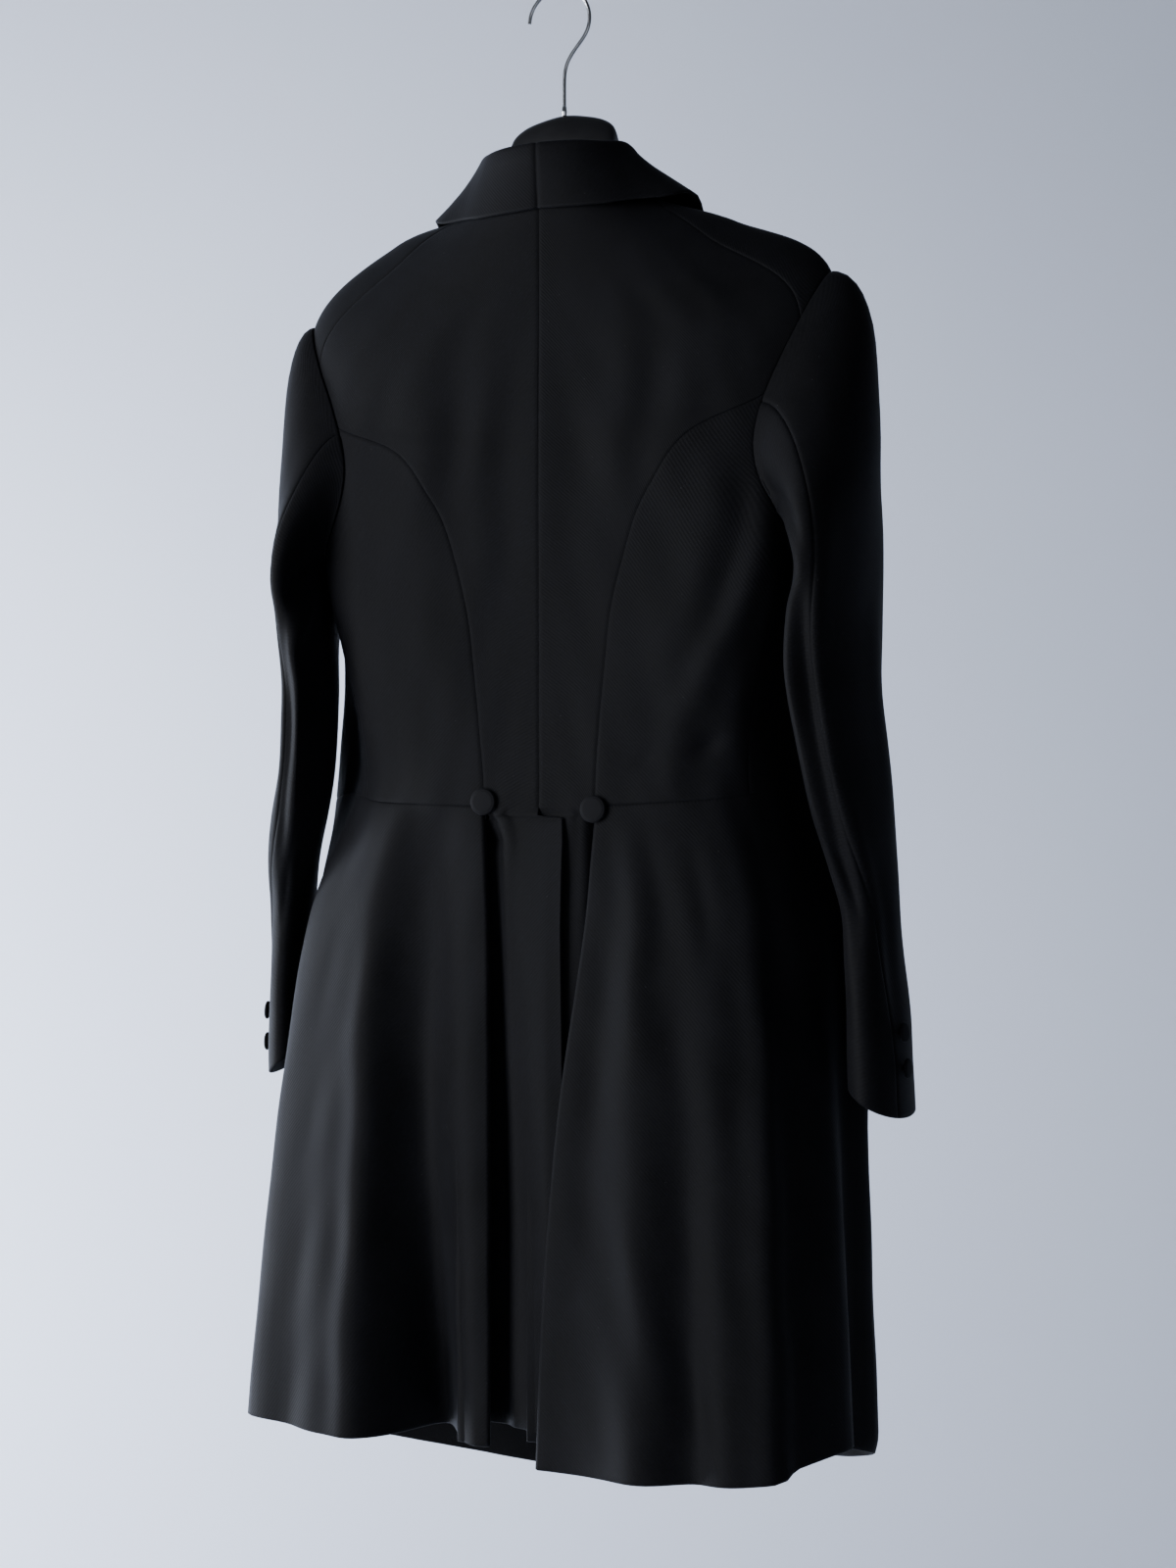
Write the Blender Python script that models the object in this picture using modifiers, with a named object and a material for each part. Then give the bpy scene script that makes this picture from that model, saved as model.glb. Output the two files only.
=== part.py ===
"""White tie tailcoat hanging open on a moulded suit hanger.

Metres, +Z up. The coat's front faces -Y and its back +Y, and the wearer's left is +X.
The origin is the top of the hook's inside, where a rod or rail carries the hanger.

The cloth lies on one smooth body form. A point of the form is named by how far round the
half ring it is (around: 0 centre back, 0.5 side, 1 front edge) and by its level (a row
number of the ring tables, hem 0 to neck 11). Each panel is the stretch of that form between
its seams, given a real wall, so neighbours meet along the same line.
"""
import math

import bmesh
import bpy
import numpy as np
from mathutils import Vector

# Cloth
WALL = 0.0018
SEAM_HALF_GAP = 0.0002
LINING_WALL = 0.0010

# Distance of the centre back seam behind the hook
BACK_Y = 0.050

# Heights in the tables are taken from this level, the middle of the hook's crook
DATUM_Z = -0.0155

# Places round a half ring where its shape is given
AROUND_KNOTS = (-0.3, 0.0, 0.3, 0.5, 0.7, 1.0)
REAR_RISE = 0.35
FORE_RISE = 0.40

# Each ring: heights at the back, side and front, then points given as the distance out from the
# centre line and the distance forward of the centre back seam.
RING_COLUMNS = ("z_back", "z_side", "z_front", "back_in", "rear_x", "rear_in", "side_x", "side_in",
                "fore_x", "fore_in", "edge_x", "edge_in")
SKIRT_RINGS = {
    "left": (
        (-1.050, -1.054, -1.118, 0.000, 0.164, -0.008, 0.254, 0.036, 0.232, 0.160, 0.080, 0.208),
        (-0.930, -0.930, -0.935, 0.000, 0.159, -0.006, 0.243, 0.038, 0.224, 0.148, 0.072, 0.192),
        (-0.800, -0.800, -0.800, 0.000, 0.152, -0.003, 0.228, 0.040, 0.206, 0.128, 0.062, 0.176),
        (-0.680, -0.672, -0.680, 0.000, 0.142, 0.003, 0.208, 0.042, 0.212, 0.116, 0.052, 0.166),
    ),
    "right": (
        (-1.060, -1.043, -1.116, -0.014, 0.158, -0.024, 0.212, 0.066, 0.200, 0.156, 0.084, 0.205),
        (-0.930, -0.930, -0.935, -0.013, 0.155, -0.018, 0.208, 0.062, 0.198, 0.144, 0.076, 0.190),
        (-0.800, -0.800, -0.800, -0.011, 0.150, -0.010, 0.200, 0.058, 0.200, 0.128, 0.064, 0.175),
        (-0.680, -0.672, -0.680, -0.004, 0.140, -0.001, 0.190, 0.054, 0.205, 0.118, 0.052, 0.166),
    ),
}
BODY_RINGS = (
    (-0.588, -0.575, -0.584, 0.000, 0.126, 0.008, 0.174, 0.054, 0.208, 0.112, 0.044, 0.158),
    (-0.530, -0.525, -0.528, 0.000, 0.132, 0.006, 0.170, 0.052, 0.203, 0.110, 0.038, 0.156),
    (-0.470, -0.468, -0.470, 0.000, 0.145, 0.003, 0.179, 0.050, 0.192, 0.110, 0.030, 0.156),
    (-0.410, -0.414, -0.412, 0.000, 0.158, 0.004, 0.188, 0.048, 0.186, 0.110, 0.022, 0.156),
    (-0.345, -0.330, -0.350, 0.000, 0.153, 0.004, 0.196, 0.048, 0.176, 0.106, 0.016, 0.150),
    (-0.275, -0.2160, -0.290, 0.000, 0.150, 0.008, 0.2030, 0.047, 0.150, 0.098, 0.014, 0.136),
    (-0.212, -0.1800, -0.245, 0.000, 0.095, 0.010, 0.135, 0.047, 0.105, 0.086, 0.012, 0.116),
    (-0.154, -0.1510, -0.215, 0.000, 0.048, 0.010, 0.074, 0.046, 0.060, 0.078, 0.010, 0.096),
)
# The coat hangs a little askew: how much higher each shoulder's side lies at a level of the form
SHOULDER_LIFT = {
    "left": {9: -0.0022, 10: 0.0170},
    "right": {9: 0.0028, 10: 0.0090},
}
WAIST_LEVEL = 4
NECK_LEVEL = 11

# Soft folds of the skirt and body: place round the ring at the top and the bottom, half width
# there, and how far they stand out (troughs are negative) at the top and the bottom level.
FOLD_COLUMNS = ("side", "around_top", "around_low", "half_width", "level_top", "level_low",
                "rise_top", "rise_low")
FOLDS = (
    ("left", 0.200, 0.180, 0.055, 4.0, 0.0, 0.000, -0.080),
    ("left", 0.310, 0.315, 0.045, 4.0, 0.0, 0.000, 0.010),
    ("left", 0.560, 0.550, 0.050, 4.0, 0.0, 0.000, -0.018),
    ("right", 0.215, 0.225, 0.035, 4.0, 0.0, 0.000, -0.012),
    ("right", 0.140, 0.150, 0.040, 4.0, 0.0, 0.000, 0.008),
    ("right", 0.360, 0.350, 0.030, 4.0, 0.0, 0.000, 0.006),
    ("right", 0.570, 0.580, 0.050, 4.0, 0.0, 0.000, -0.018),
)

# Armhole, an oval in places round the ring and levels
ARMHOLE_AROUND = 0.50
ARMHOLE_REAR = 0.185
ARMHOLE_FRONT = 0.170
ARMHOLE_LEVEL = 8.0
ARMHOLE_TOP = 1.0
ARMHOLE_LOW = 0.96

# Seams of the back, as distance out from the centre line at a height
SIDE_BACK_SEAM = (
    (-0.588, 0.0430),
    (-0.5035, 0.0490),
    (-0.440, 0.0570),
    (-0.393, 0.0700),
    (-0.360, 0.0860),
    (-0.325, 0.1150),
)
SIDE_BACK_START = math.radians(66)
UNDERARM_START = math.radians(140)
UNDERARM_WAIST = 0.385
SHOULDER_SEAM_ARM = math.radians(36)
SHOULDER_SEAM_MIDDLE = (0.385, 9.9)
SHOULDER_SEAM_NECK = 0.42
# Front edge above the break: level and place round the ring
ROLL_LINE = (
    (5.0, 1.000),
    (6.0, 0.968),
    (7.0, 0.942),
    (8.0, 0.915),
    (9.0, 0.880),
    (10.0, 0.810),
    (11.0, 0.640),
)

# Centre tails: drop below the waist seam, then for each side how far the centre edge laps past
# the centre, how far in it lies, the fold at the pleat, and the shelf behind the pleat
TAIL_COLUMNS = ("drop", "lap", "lap_in", "fold_x", "fold_in", "shelf_x", "shelf_in")
TAIL_ROWS = {
    "left": (
        (0.006, -0.0003, -0.0034, 0.0340, -0.0010, 0.0394, 0.0004),
        (0.008, 0.0185, -0.0034, 0.0330, -0.0010, 0.0392, 0.0010),
        (0.024, 0.0190, -0.0034, 0.0280, -0.0010, 0.0380, 0.0075),
        (0.090, 0.0175, -0.0034, 0.0265, -0.0010, 0.0370, 0.0080),
        (0.230, 0.0190, -0.0034, 0.0250, -0.0010, 0.0358, 0.0080),
        (0.450, 0.0185, -0.0034, 0.0230, -0.0010, 0.0352, 0.0080),
    ),
    "right": (
        (0.006, -0.0003, 0.0040, 0.0360, 0.0010, 0.0394, 0.0016),
        (0.008, 0.0100, 0.0040, 0.0360, 0.0012, 0.0392, 0.0032),
        (0.024, 0.0100, 0.0040, 0.0350, 0.0030, 0.0385, 0.0090),
        (0.090, 0.0100, 0.0040, 0.0330, 0.0045, 0.0385, 0.0095),
        (0.230, 0.0100, 0.0040, 0.0330, 0.0045, 0.0385, 0.0095),
        (0.457, 0.0100, 0.0040, 0.0330, 0.0045, 0.0385, 0.0095),
    ),
}
TAIL_FOLD_SHARE = 0.72

# Folded edge of the skirt's pleat, as distance out at each level from the hem up to the waist
PLEAT_EDGE = {
    "left": (0.0375, 0.0380, 0.0385, 0.0402, 0.0440),
    "right": (0.0030, 0.0085, 0.0200, 0.0362, 0.0440),
}

# The part turned under at the pleat: distance back along the cloth, and how far inside it lies
PLEAT_TURN = (
    (0.0260, 0.0052),
    (0.0130, 0.0052),
    (0.0016, 0.0052),
    (-0.0008, 0.00286),
)

# Sleeves: height, centre out and forward, half width, half thickness, how far the front edge
# turns out, and the depth of the trough down the back of the arm
SLEEVE_COLUMNS = ("z", "centre_x", "centre_in", "half_width", "half_thick", "turn", "trough")
SLEEVE_ROWS = {
    "right": (
        (-0.430, 0.2120, 0.036, 0.066, 0.0180, 8, 0.000),
        (-0.460, 0.2110, 0.030, 0.064, 0.0190, 10, 0.008),
        (-0.500, 0.2110, 0.028, 0.060, 0.0200, 12, 0.014),
        (-0.545, 0.2150, 0.033, 0.057, 0.0200, 12, 0.014),
        (-0.590, 0.2200, 0.042, 0.051, 0.0195, 12, 0.012),
        (-0.630, 0.2250, 0.050, 0.042, 0.0175, 10, 0.009),
        (-0.665, 0.2290, 0.058, 0.036, 0.0155, 8, 0.004),
        (-0.700, 0.2300, 0.064, 0.041, 0.0160, 6, 0.002),
        (-0.745, 0.2320, 0.070, 0.046, 0.0180, 4, 0.000),
        (-0.795, 0.2330, 0.074, 0.047, 0.0190, 4, 0.000),
    ),
    "left": (
        (-0.430, 0.2050, 0.036, 0.066, 0.0140, 8, 0.000),
        (-0.460, 0.2040, 0.034, 0.064, 0.0140, 10, 0.006),
        (-0.500, 0.2035, 0.036, 0.060, 0.0145, 12, 0.010),
        (-0.545, 0.2080, 0.042, 0.056, 0.0150, 12, 0.010),
        (-0.590, 0.2190, 0.050, 0.051, 0.0170, 14, 0.008),
        (-0.630, 0.2320, 0.064, 0.044, 0.0160, 16, 0.004),
        (-0.665, 0.2410, 0.080, 0.038, 0.0150, 16, 0.000),
        (-0.700, 0.2470, 0.094, 0.042, 0.0150, 14, 0.000),
        (-0.740, 0.2520, 0.104, 0.046, 0.0160, 12, 0.000),
        (-0.785, 0.2550, 0.110, 0.047, 0.0170, 12, 0.000),
    ),
}
CUFF_TILT = 0.012
HIND_SEAM = ((-0.430, 70), (-0.590, 66), (-0.665, 42), (-0.720, 30), (-0.800, 24))
FORE_SEAM = -78
TROUGH_PLACE = 84
TROUGH_WIDTH = 22

# Collar: place along its seam, then the fold's rise over the seam, how far it leans out and forward
# of the seam, how far the fall reaches out over the cloth, and how far its edge lifts on each side
COLLAR_COLUMNS = ("place", "rise", "lean_x", "lean_in", "reach", "lift_left", "lift_right")
COLLAR_ROWS = (
    (0.00, 0.0387, 0.000, -0.001, 0.004, 0.0010, 0.0010),
    (0.12, 0.0380, -0.0125, 0.002, 0.010, 0.0015, 0.0040),
    (0.19, 0.0360, -0.021, -0.004, 0.026, 0.0030, 0.0090),
    (0.235, 0.0315, -0.024, -0.002, 0.030, 0.0035, 0.0095),
    (0.30, 0.0280, -0.014, -0.003, 0.038, 0.0040, 0.0070),
    (0.40, 0.0130, -0.006, 0.003, 0.052, 0.0035, 0.0040),
    (0.60, 0.0040, -0.003, 0.005, 0.060, 0.0030, 0.0030),
    (0.80, 0.0030, -0.002, 0.005, 0.054, 0.0020, 0.0020),
    (1.00, 0.0025, -0.001, 0.004, 0.010, 0.0010, 0.0010),
)
COLLAR_FULL_STAND = 0.030
COLLAR_FOLD_RADIUS = 0.0030
COLLAR_CLEAR = 0.0032
COLLAR_SEAM_GAP = 0.0022

# Buttons
BACK_BUTTON_RADIUS = 0.0098
BACK_BUTTON_THICK = 0.0036
BACK_BUTTON_X = 0.0425
BACK_BUTTON_Z = {"left": -0.5840, "right": -0.5900}
CUFF_BUTTON_RADIUS = 0.0072
CUFF_BUTTON_THICK = 0.0030
CUFF_BUTTON_STALK = 0.0022
CUFF_BUTTON_STALK_RADIUS = 0.0022
CUFF_BUTTON_HEIGHTS = (-0.747, -0.772)

# Hanger: distance out, top, bottom, half thickness, distance behind the hook
HANGER_COLUMNS = ("x", "top", "low", "half_thick", "y")
HANGER_ROWS = (
    (0.000, -0.0775, -0.150, 0.0125, 0.000),
    (0.018, -0.0800, -0.152, 0.0125, 0.000),
    (0.032, -0.0845, -0.156, 0.0120, 0.000),
    (0.040, -0.0920, -0.160, 0.0120, 0.000),
    (0.0425, -0.1080, -0.164, 0.0105, 0.001),
    (0.0475, -0.1320, -0.168, 0.0095, 0.002),
    (0.066, -0.1522, -0.176, 0.0120, 0.005),
    (0.085, -0.1621, -0.186, 0.0125, 0.007),
    (0.120, -0.1787, -0.202, 0.0130, 0.0075),
    (0.155, -0.1954, -0.220, 0.0138, 0.0075),
    (0.178, -0.2078, -0.230, 0.0145, 0.007),
    (0.190, -0.2175, -0.232, 0.0110, 0.006),
)

# Hook, in the part's own heights: wire half thickness, the crook's inner radius and its middle
HOOK_WIRE = 0.00145
HOOK_INNER = 0.0224
HOOK_CENTRE_X = 0.004
HOOK_STEM_TOP = -0.0670
HOOK_START = math.radians(-40)
HOOK_END = math.radians(178)
PLUG_RADIUS = 0.0018
PLUG_TOP = -0.0857

# Counts of rows and columns of the panels
SEAM_ROWS = 11
BACK_ARM_ROWS = 5
BACK_COLUMNS = 8
SIDE_BACK_COLUMNS = 7
FRONT_COLUMNS = 11
TAIL_LOW_ROWS = 7
SKIRT_ROWS = 10
LINING_INSET = 0.0023
LINING_COLUMNS = 5
LINING_ABOVE_HEM = 0.018

# Rows of the front that start on the armhole: angle there in degrees, and where they end: a level
# of the front edge up to the neck's level 11, then on round the neck to the shoulder seam at 12
FRONT_RAYS = (
    (140, 4.50),
    (147, 5.00),
    (156, 5.70),
    (168, 6.35),
    (182, 6.85),
    (200, 7.25),
    (220, 7.60),
    (242, 7.95),
    (265, 8.35),
    (288, 8.80),
    (311, 9.50),
    (334, 10.3),
    (350, 11.0),
    (366, 11.33),
    (381, 11.67),
    (396, 12.0),
)
BREAK_RAY = 1

# Rows and columns of the sleeves
SLEEVE_HEAD_ROWS = 5
SLEEVE_COLUMNS_EACH = 10
SLEEVE_STAND = 0.0024
HEAD_FULLNESS = {"left": 0.42, "right": 0.62}
HEAD_RISE = 0.45
HEAD_DROP = 0.25

# Seat of the back buttons, the hanger's section and how much lower it hangs on the left
BACK_BUTTON_LIFT = 0.0015
HANGER_SECTION_POINTS = 12
HANGER_TILT = 0.0015

LEFT = 1.0
RIGHT = -1.0
SIDES = (("left", LEFT), ("right", RIGHT))


# Colours and finishes
FINISHES = {
    "wool": ((0.010, 0.010, 0.011, 1.0), 0.85, 0.0),
    "lining": ((0.016, 0.016, 0.018, 1.0), 0.45, 0.0),
    "button": ((0.012, 0.012, 0.013, 1.0), 0.60, 0.0),
    "plastic": ((0.012, 0.012, 0.012, 1.0), 0.35, 0.0),
    "steel": ((0.62, 0.62, 0.63, 1.0), 0.30, 1.0),
}


def clear_scene():
    """Remove what a new file starts with."""
    for item in list(bpy.data.objects):
        bpy.data.objects.remove(item, do_unlink=True)


def finish_material(name):
    """The Principled material of a finish, made once."""
    found = bpy.data.materials.get(name)
    if found:
        return found
    colour, roughness, metallic = FINISHES[name]
    material = bpy.data.materials.new(name)
    material.use_nodes = True
    surface = material.node_tree.nodes["Principled BSDF"]
    surface.inputs["Base Color"].default_value = colour
    surface.inputs["Roughness"].default_value = roughness
    surface.inputs["Metallic"].default_value = metallic
    return material


def smooth_through(knots, values, place):
    """Cubic curve through values at knots, read at each place (values: knots first)."""
    knots = np.asarray(knots, float)
    values = np.asarray(values, float)
    place = np.clip(np.asarray(place, float), knots[0], knots[-1])
    slopes = np.empty_like(values)
    wide = (knots[2:] - knots[:-2]).reshape((-1,) + (1,) * (values.ndim - 1))
    slopes[1:-1] = (values[2:] - values[:-2]) / wide
    slopes[0] = (values[1] - values[0]) / (knots[1] - knots[0])
    slopes[-1] = (values[-1] - values[-2]) / (knots[-1] - knots[-2])
    cell = np.clip(np.searchsorted(knots, place, side="right") - 1, 0, len(knots) - 2)
    step = knots[cell + 1] - knots[cell]
    t = (place - knots[cell]) / step
    shape = t.shape + (1,) * (values.ndim - 1)
    t = t.reshape(shape)
    step = step.reshape(shape)
    start = values[cell] * (2 * t ** 3 - 3 * t ** 2 + 1) + slopes[cell] * step * (t ** 3 - 2 * t ** 2 + t)
    end = values[cell + 1] * (3 * t ** 2 - 2 * t ** 3) + slopes[cell + 1] * step * (t ** 3 - t ** 2)
    return start + end


def straight_through(knots, values, place):
    """Straight runs through values at knots."""
    return np.interp(place, knots, values)


def ring_points(size):
    """The shape points of one half ring, with a mirrored one before the centre back."""
    z_rear = size["z_back"] + (size["z_side"] - size["z_back"]) * REAR_RISE
    z_fore = size["z_front"] + (size["z_side"] - size["z_front"]) * FORE_RISE
    return (
        (-size["rear_x"], size["rear_in"], z_rear),
        (0.0, size["back_in"], size["z_back"]),
        (size["rear_x"], size["rear_in"], z_rear),
        (size["side_x"], size["side_in"], size["z_side"]),
        (size["fore_x"], size["fore_in"], z_fore),
        (size["edge_x"], size["edge_in"], size["z_front"]),
    )


def all_rings(side):
    """Shape points of every ring of one side, with its shoulder raised."""
    rings = []
    for level, row in enumerate(SKIRT_RINGS[side] + BODY_RINGS):
        size = dict(zip(RING_COLUMNS, row))
        size["z_side"] += SHOULDER_LIFT[side].get(level, 0.0)
        rings.append(ring_points(size))
    return np.array(rings)


RINGS = {side: all_rings(side) for side in ("left", "right")}
LEVEL_KNOTS = np.arange(len(RINGS["left"]), dtype=float)


def form(side, around, level):
    """Points of the smooth form as (out, in, z) for arrays of places and levels."""
    around, level = np.broadcast_arrays(np.asarray(around, float), np.asarray(level, float))
    shape = around.shape
    around = around.ravel()
    level = level.ravel()
    controls = smooth_through(LEVEL_KNOTS, RINGS[side], level)
    knots = np.asarray(AROUND_KNOTS)
    cell = np.clip(np.searchsorted(knots, around, side="right") - 1, 1, len(knots) - 2)
    index = np.arange(len(around))
    here = controls[index, cell]
    after = controls[index, cell + 1]
    before = controls[index, cell - 1]
    beyond = controls[index, np.minimum(cell + 2, len(knots) - 1)]
    step = (knots[cell + 1] - knots[cell])[:, None]
    slope_here = (after - before) / (knots[cell + 1] - knots[cell - 1])[:, None]
    span = (knots[np.minimum(cell + 2, len(knots) - 1)] - knots[cell])[:, None]
    slope_after = (beyond - here) / span
    t = ((around - knots[cell])[:, None]) / step
    start = here * (2 * t ** 3 - 3 * t ** 2 + 1) + slope_here * step * (t ** 3 - 2 * t ** 2 + t)
    end = after * (3 * t ** 2 - 2 * t ** 3) + slope_after * step * (t ** 3 - t ** 2)
    return (start + end).reshape(shape + (3,))


def place_in_frame(points, sign):
    """From (out, in, z) of one side to the part's own X, Y, Z."""
    points = np.asarray(points, float)
    return np.stack((points[..., 0] * sign, BACK_Y - points[..., 1], points[..., 2] + DATUM_Z), axis=-1)


def unit(vectors):
    """Vectors at length one."""
    return vectors / np.maximum(np.linalg.norm(vectors, axis=-1, keepdims=True), 1e-12)


def fold_rise(side, around, level):
    """How far the soft folds stand out from the form."""
    total = np.zeros(np.broadcast(around, level).shape)
    for row in FOLDS:
        fold = dict(zip(FOLD_COLUMNS, row))
        if fold["side"] != side:
            continue
        share = (fold["level_top"] - level) / (fold["level_top"] - fold["level_low"])
        share = np.clip(share, 0.0, 1.0)
        centre = fold["around_top"] + (fold["around_low"] - fold["around_top"]) * share
        height = fold["rise_top"] + (fold["rise_low"] - fold["rise_top"]) * share
        total = total + height * np.exp(-((around - centre) / fold["half_width"]) ** 2)
    return total


def form_normal(side, around, level, step=0.004):
    """Outward direction of the smooth form, as (out, in, z)."""
    across = form(side, around + step, level) - form(side, np.maximum(around - step, 0.0), level)
    up = form(side, around, np.minimum(level + step, NECK_LEVEL)) - form(side, around, level - step)
    return unit(np.cross(across, up))


def cloth(side, around, level):
    """Points of the cloth's middle surface: the form with its folds."""
    around, level = np.broadcast_arrays(np.asarray(around, float), np.asarray(level, float))
    base = form(side, around, level)
    rise = fold_rise(side, around, level)[..., None]
    return base + form_normal(side, around, level) * rise


def cloth_past_centre(side, around, level):
    """The cloth, also a little past the centre back, where it is the mirror of this side."""
    points = cloth(side, np.abs(around), level)
    points[..., 0] *= np.where(around < 0, -1.0, 1.0)
    return points


def cloth_normal(side, around, level, step=0.004):
    """Outward direction of the folded cloth."""
    around, level = np.broadcast_arrays(np.asarray(around, float), np.asarray(level, float))
    high = np.minimum(around + step, 1.0)
    across = cloth(side, high, level) - cloth_past_centre(side, around - step, level)
    below = np.maximum(level - step, 0.0)
    above = np.minimum(level + step, NECK_LEVEL)
    up = cloth(side, around, above) - cloth(side, around, below)
    return unit(np.cross(across, up))


def level_at_height(side, around, height):
    """The level where the form reaches a height, by halving."""
    around = np.asarray(around, float)
    height = np.broadcast_to(np.asarray(height, float), around.shape)
    low = np.zeros(around.shape)
    high = np.full(around.shape, float(NECK_LEVEL))
    for _ in range(26):
        middle = (low + high) / 2
        under = form(side, around, middle)[..., 2] < height
        low = np.where(under, middle, low)
        high = np.where(under, high, middle)
    return (low + high) / 2


def around_at_width(side, width, level):
    """The place round the back half ring where the form is this far out."""
    level = np.asarray(level, float)
    width = np.broadcast_to(np.asarray(width, float), level.shape)
    low = np.zeros(level.shape)
    high = np.full(level.shape, 0.42)
    for _ in range(26):
        middle = (low + high) / 2
        under = form(side, middle, level)[..., 0] < width
        low = np.where(under, middle, low)
        high = np.where(under, high, middle)
    return (low + high) / 2


def armhole(angle):
    """Place and level on the armhole: 0 at the shoulder, a quarter turn at the rear."""
    angle = np.asarray(angle, float)
    rearward = np.sin(angle) > 0
    reach = np.where(rearward, ARMHOLE_REAR, ARMHOLE_FRONT)
    upper = np.cos(angle) > 0
    rise = np.where(upper, ARMHOLE_TOP, ARMHOLE_LOW)
    return ARMHOLE_AROUND - reach * np.sin(angle), ARMHOLE_LEVEL + rise * np.cos(angle)


def side_back_seam(side, count):
    """Places and levels of the curved seam from the waist up to the armhole."""
    heights = [row[0] for row in SIDE_BACK_SEAM]
    widths = [row[1] for row in SIDE_BACK_SEAM]
    level = level_at_height(side, np.full(len(heights), 0.1), heights)
    around = around_at_width(side, widths, level)
    for _ in range(4):
        level = level_at_height(side, around, heights)
        around = around_at_width(side, widths, level)
    level[0] = WAIST_LEVEL
    around[0] = around_at_width(side, widths[0], np.array(float(WAIST_LEVEL)))
    end_around, end_level = armhole(SIDE_BACK_START)
    points = np.stack((np.append(around, end_around), np.append(level, end_level)), axis=1)
    return even_along(side, points, count)


def even_along(side, points, count):
    """Spread count places evenly by real length along a curve of places and levels."""
    dense = np.linspace(0, len(points) - 1, 200)
    curve = smooth_through(np.arange(len(points), dtype=float), points, dense)
    real = form(side, curve[:, 0], curve[:, 1])
    length = np.concatenate(([0.0], np.cumsum(np.linalg.norm(np.diff(real, axis=0), axis=1))))
    wanted = np.linspace(0, length[-1], count)
    return np.stack((np.interp(wanted, length, curve[:, 0]),
                     np.interp(wanted, length, curve[:, 1])), axis=1)


def straight_seam(side, start, end, count):
    """Places and levels along a plain seam between two points of the form."""
    return even_along(side, np.array([start, ((start[0] + end[0]) / 2, (start[1] + end[1]) / 2), end]), count)


def between_seams(low, high, left, right):
    """Fill a four-sided panel of places and levels from its four seams (rows go low to high)."""
    rows = len(left)
    columns = len(low)
    u = np.linspace(0, 1, columns)[None, :, None]
    w = np.linspace(0, 1, rows)[:, None, None]
    ruled_up = low[None] * (1 - w) + high[None] * w
    ruled_across = left[:, None] * (1 - u) + right[:, None] * u
    corners = (low[0] * (1 - u) * (1 - w) + low[-1] * u * (1 - w)
               + high[0] * (1 - u) * w + high[-1] * u * w)
    return ruled_up + ruled_across - corners


def pull_back(points, edges):
    """Draw the named edges in by half a seam gap, so that neighbours don't touch."""
    points = points.copy()
    moves = np.zeros_like(points)
    if "low" in edges:
        moves[0] += unit(points[1] - points[0]) * SEAM_HALF_GAP
    if "high" in edges:
        moves[-1] += unit(points[-2] - points[-1]) * SEAM_HALF_GAP
    if "first" in edges:
        moves[:, 0] += unit(points[:, 1] - points[:, 0]) * SEAM_HALF_GAP
    if "last" in edges:
        moves[:, -1] += unit(points[:, -2] - points[:, -1]) * SEAM_HALF_GAP
    return points + moves


def grid_normals(points):
    """Directions square to a grid of points, from its own shape."""
    across = np.empty_like(points)
    across[:, 1:-1] = points[:, 2:] - points[:, :-2]
    across[:, 0] = points[:, 1] - points[:, 0]
    across[:, -1] = points[:, -1] - points[:, -2]
    up = np.empty_like(points)
    up[1:-1] = points[2:] - points[:-2]
    up[0] = points[1] - points[0]
    up[-1] = points[-1] - points[-2]
    return unit(np.cross(unit(up), unit(across)))


def wall_mesh(name, points, normals, thickness=WALL):
    """A closed wall: the grid moved half a thickness each way, joined round its rim."""
    rows, columns = points.shape[:2]
    outer = points + normals * thickness / 2
    inner = points - normals * thickness / 2
    vertices = np.concatenate((outer.reshape(-1, 3), inner.reshape(-1, 3)))
    shift = rows * columns
    faces = []
    for i in range(rows - 1):
        for j in range(columns - 1):
            a = i * columns + j
            quad = (a, a + 1, a + columns + 1, a + columns)
            faces.append(quad)
            faces.append(tuple(shift + k for k in reversed(quad)))
    rim = [j for j in range(columns)]
    rim += [i * columns + columns - 1 for i in range(1, rows)]
    rim += [(rows - 1) * columns + j for j in range(columns - 2, -1, -1)]
    rim += [i * columns for i in range(rows - 2, 0, -1)]
    for k, a in enumerate(rim):
        b = rim[(k + 1) % len(rim)]
        faces.append((b, a, shift + a, shift + b))
    mesh = bpy.data.meshes.new(name)
    mesh.from_pydata([tuple(v) for v in vertices], [], faces)
    return mesh


def finish_object(name, mesh, finish):
    """Put a mesh in the coat's collection with its faces pointing out."""
    body = bmesh.new()
    body.from_mesh(mesh)
    bmesh.ops.triangulate(body, faces=body.faces[:])
    if body.calc_volume(signed=True) < 0:
        bmesh.ops.reverse_faces(body, faces=body.faces[:])
    body.to_mesh(mesh)
    body.free()
    mesh.shade_smooth()
    mesh.set_sharp_from_angle(angle=math.radians(40))
    item = bpy.data.objects.new(name, mesh)
    item.data.materials.append(finish_material(finish))
    bpy.data.collections["white_tie_tailcoat"].objects.link(item)
    return item


def add_wall(name, points, normals, finish="wool", thickness=WALL):
    """A cloth piece from a grid of frame points."""
    return finish_object(name, wall_mesh(name, points, normals, thickness), finish)


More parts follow.
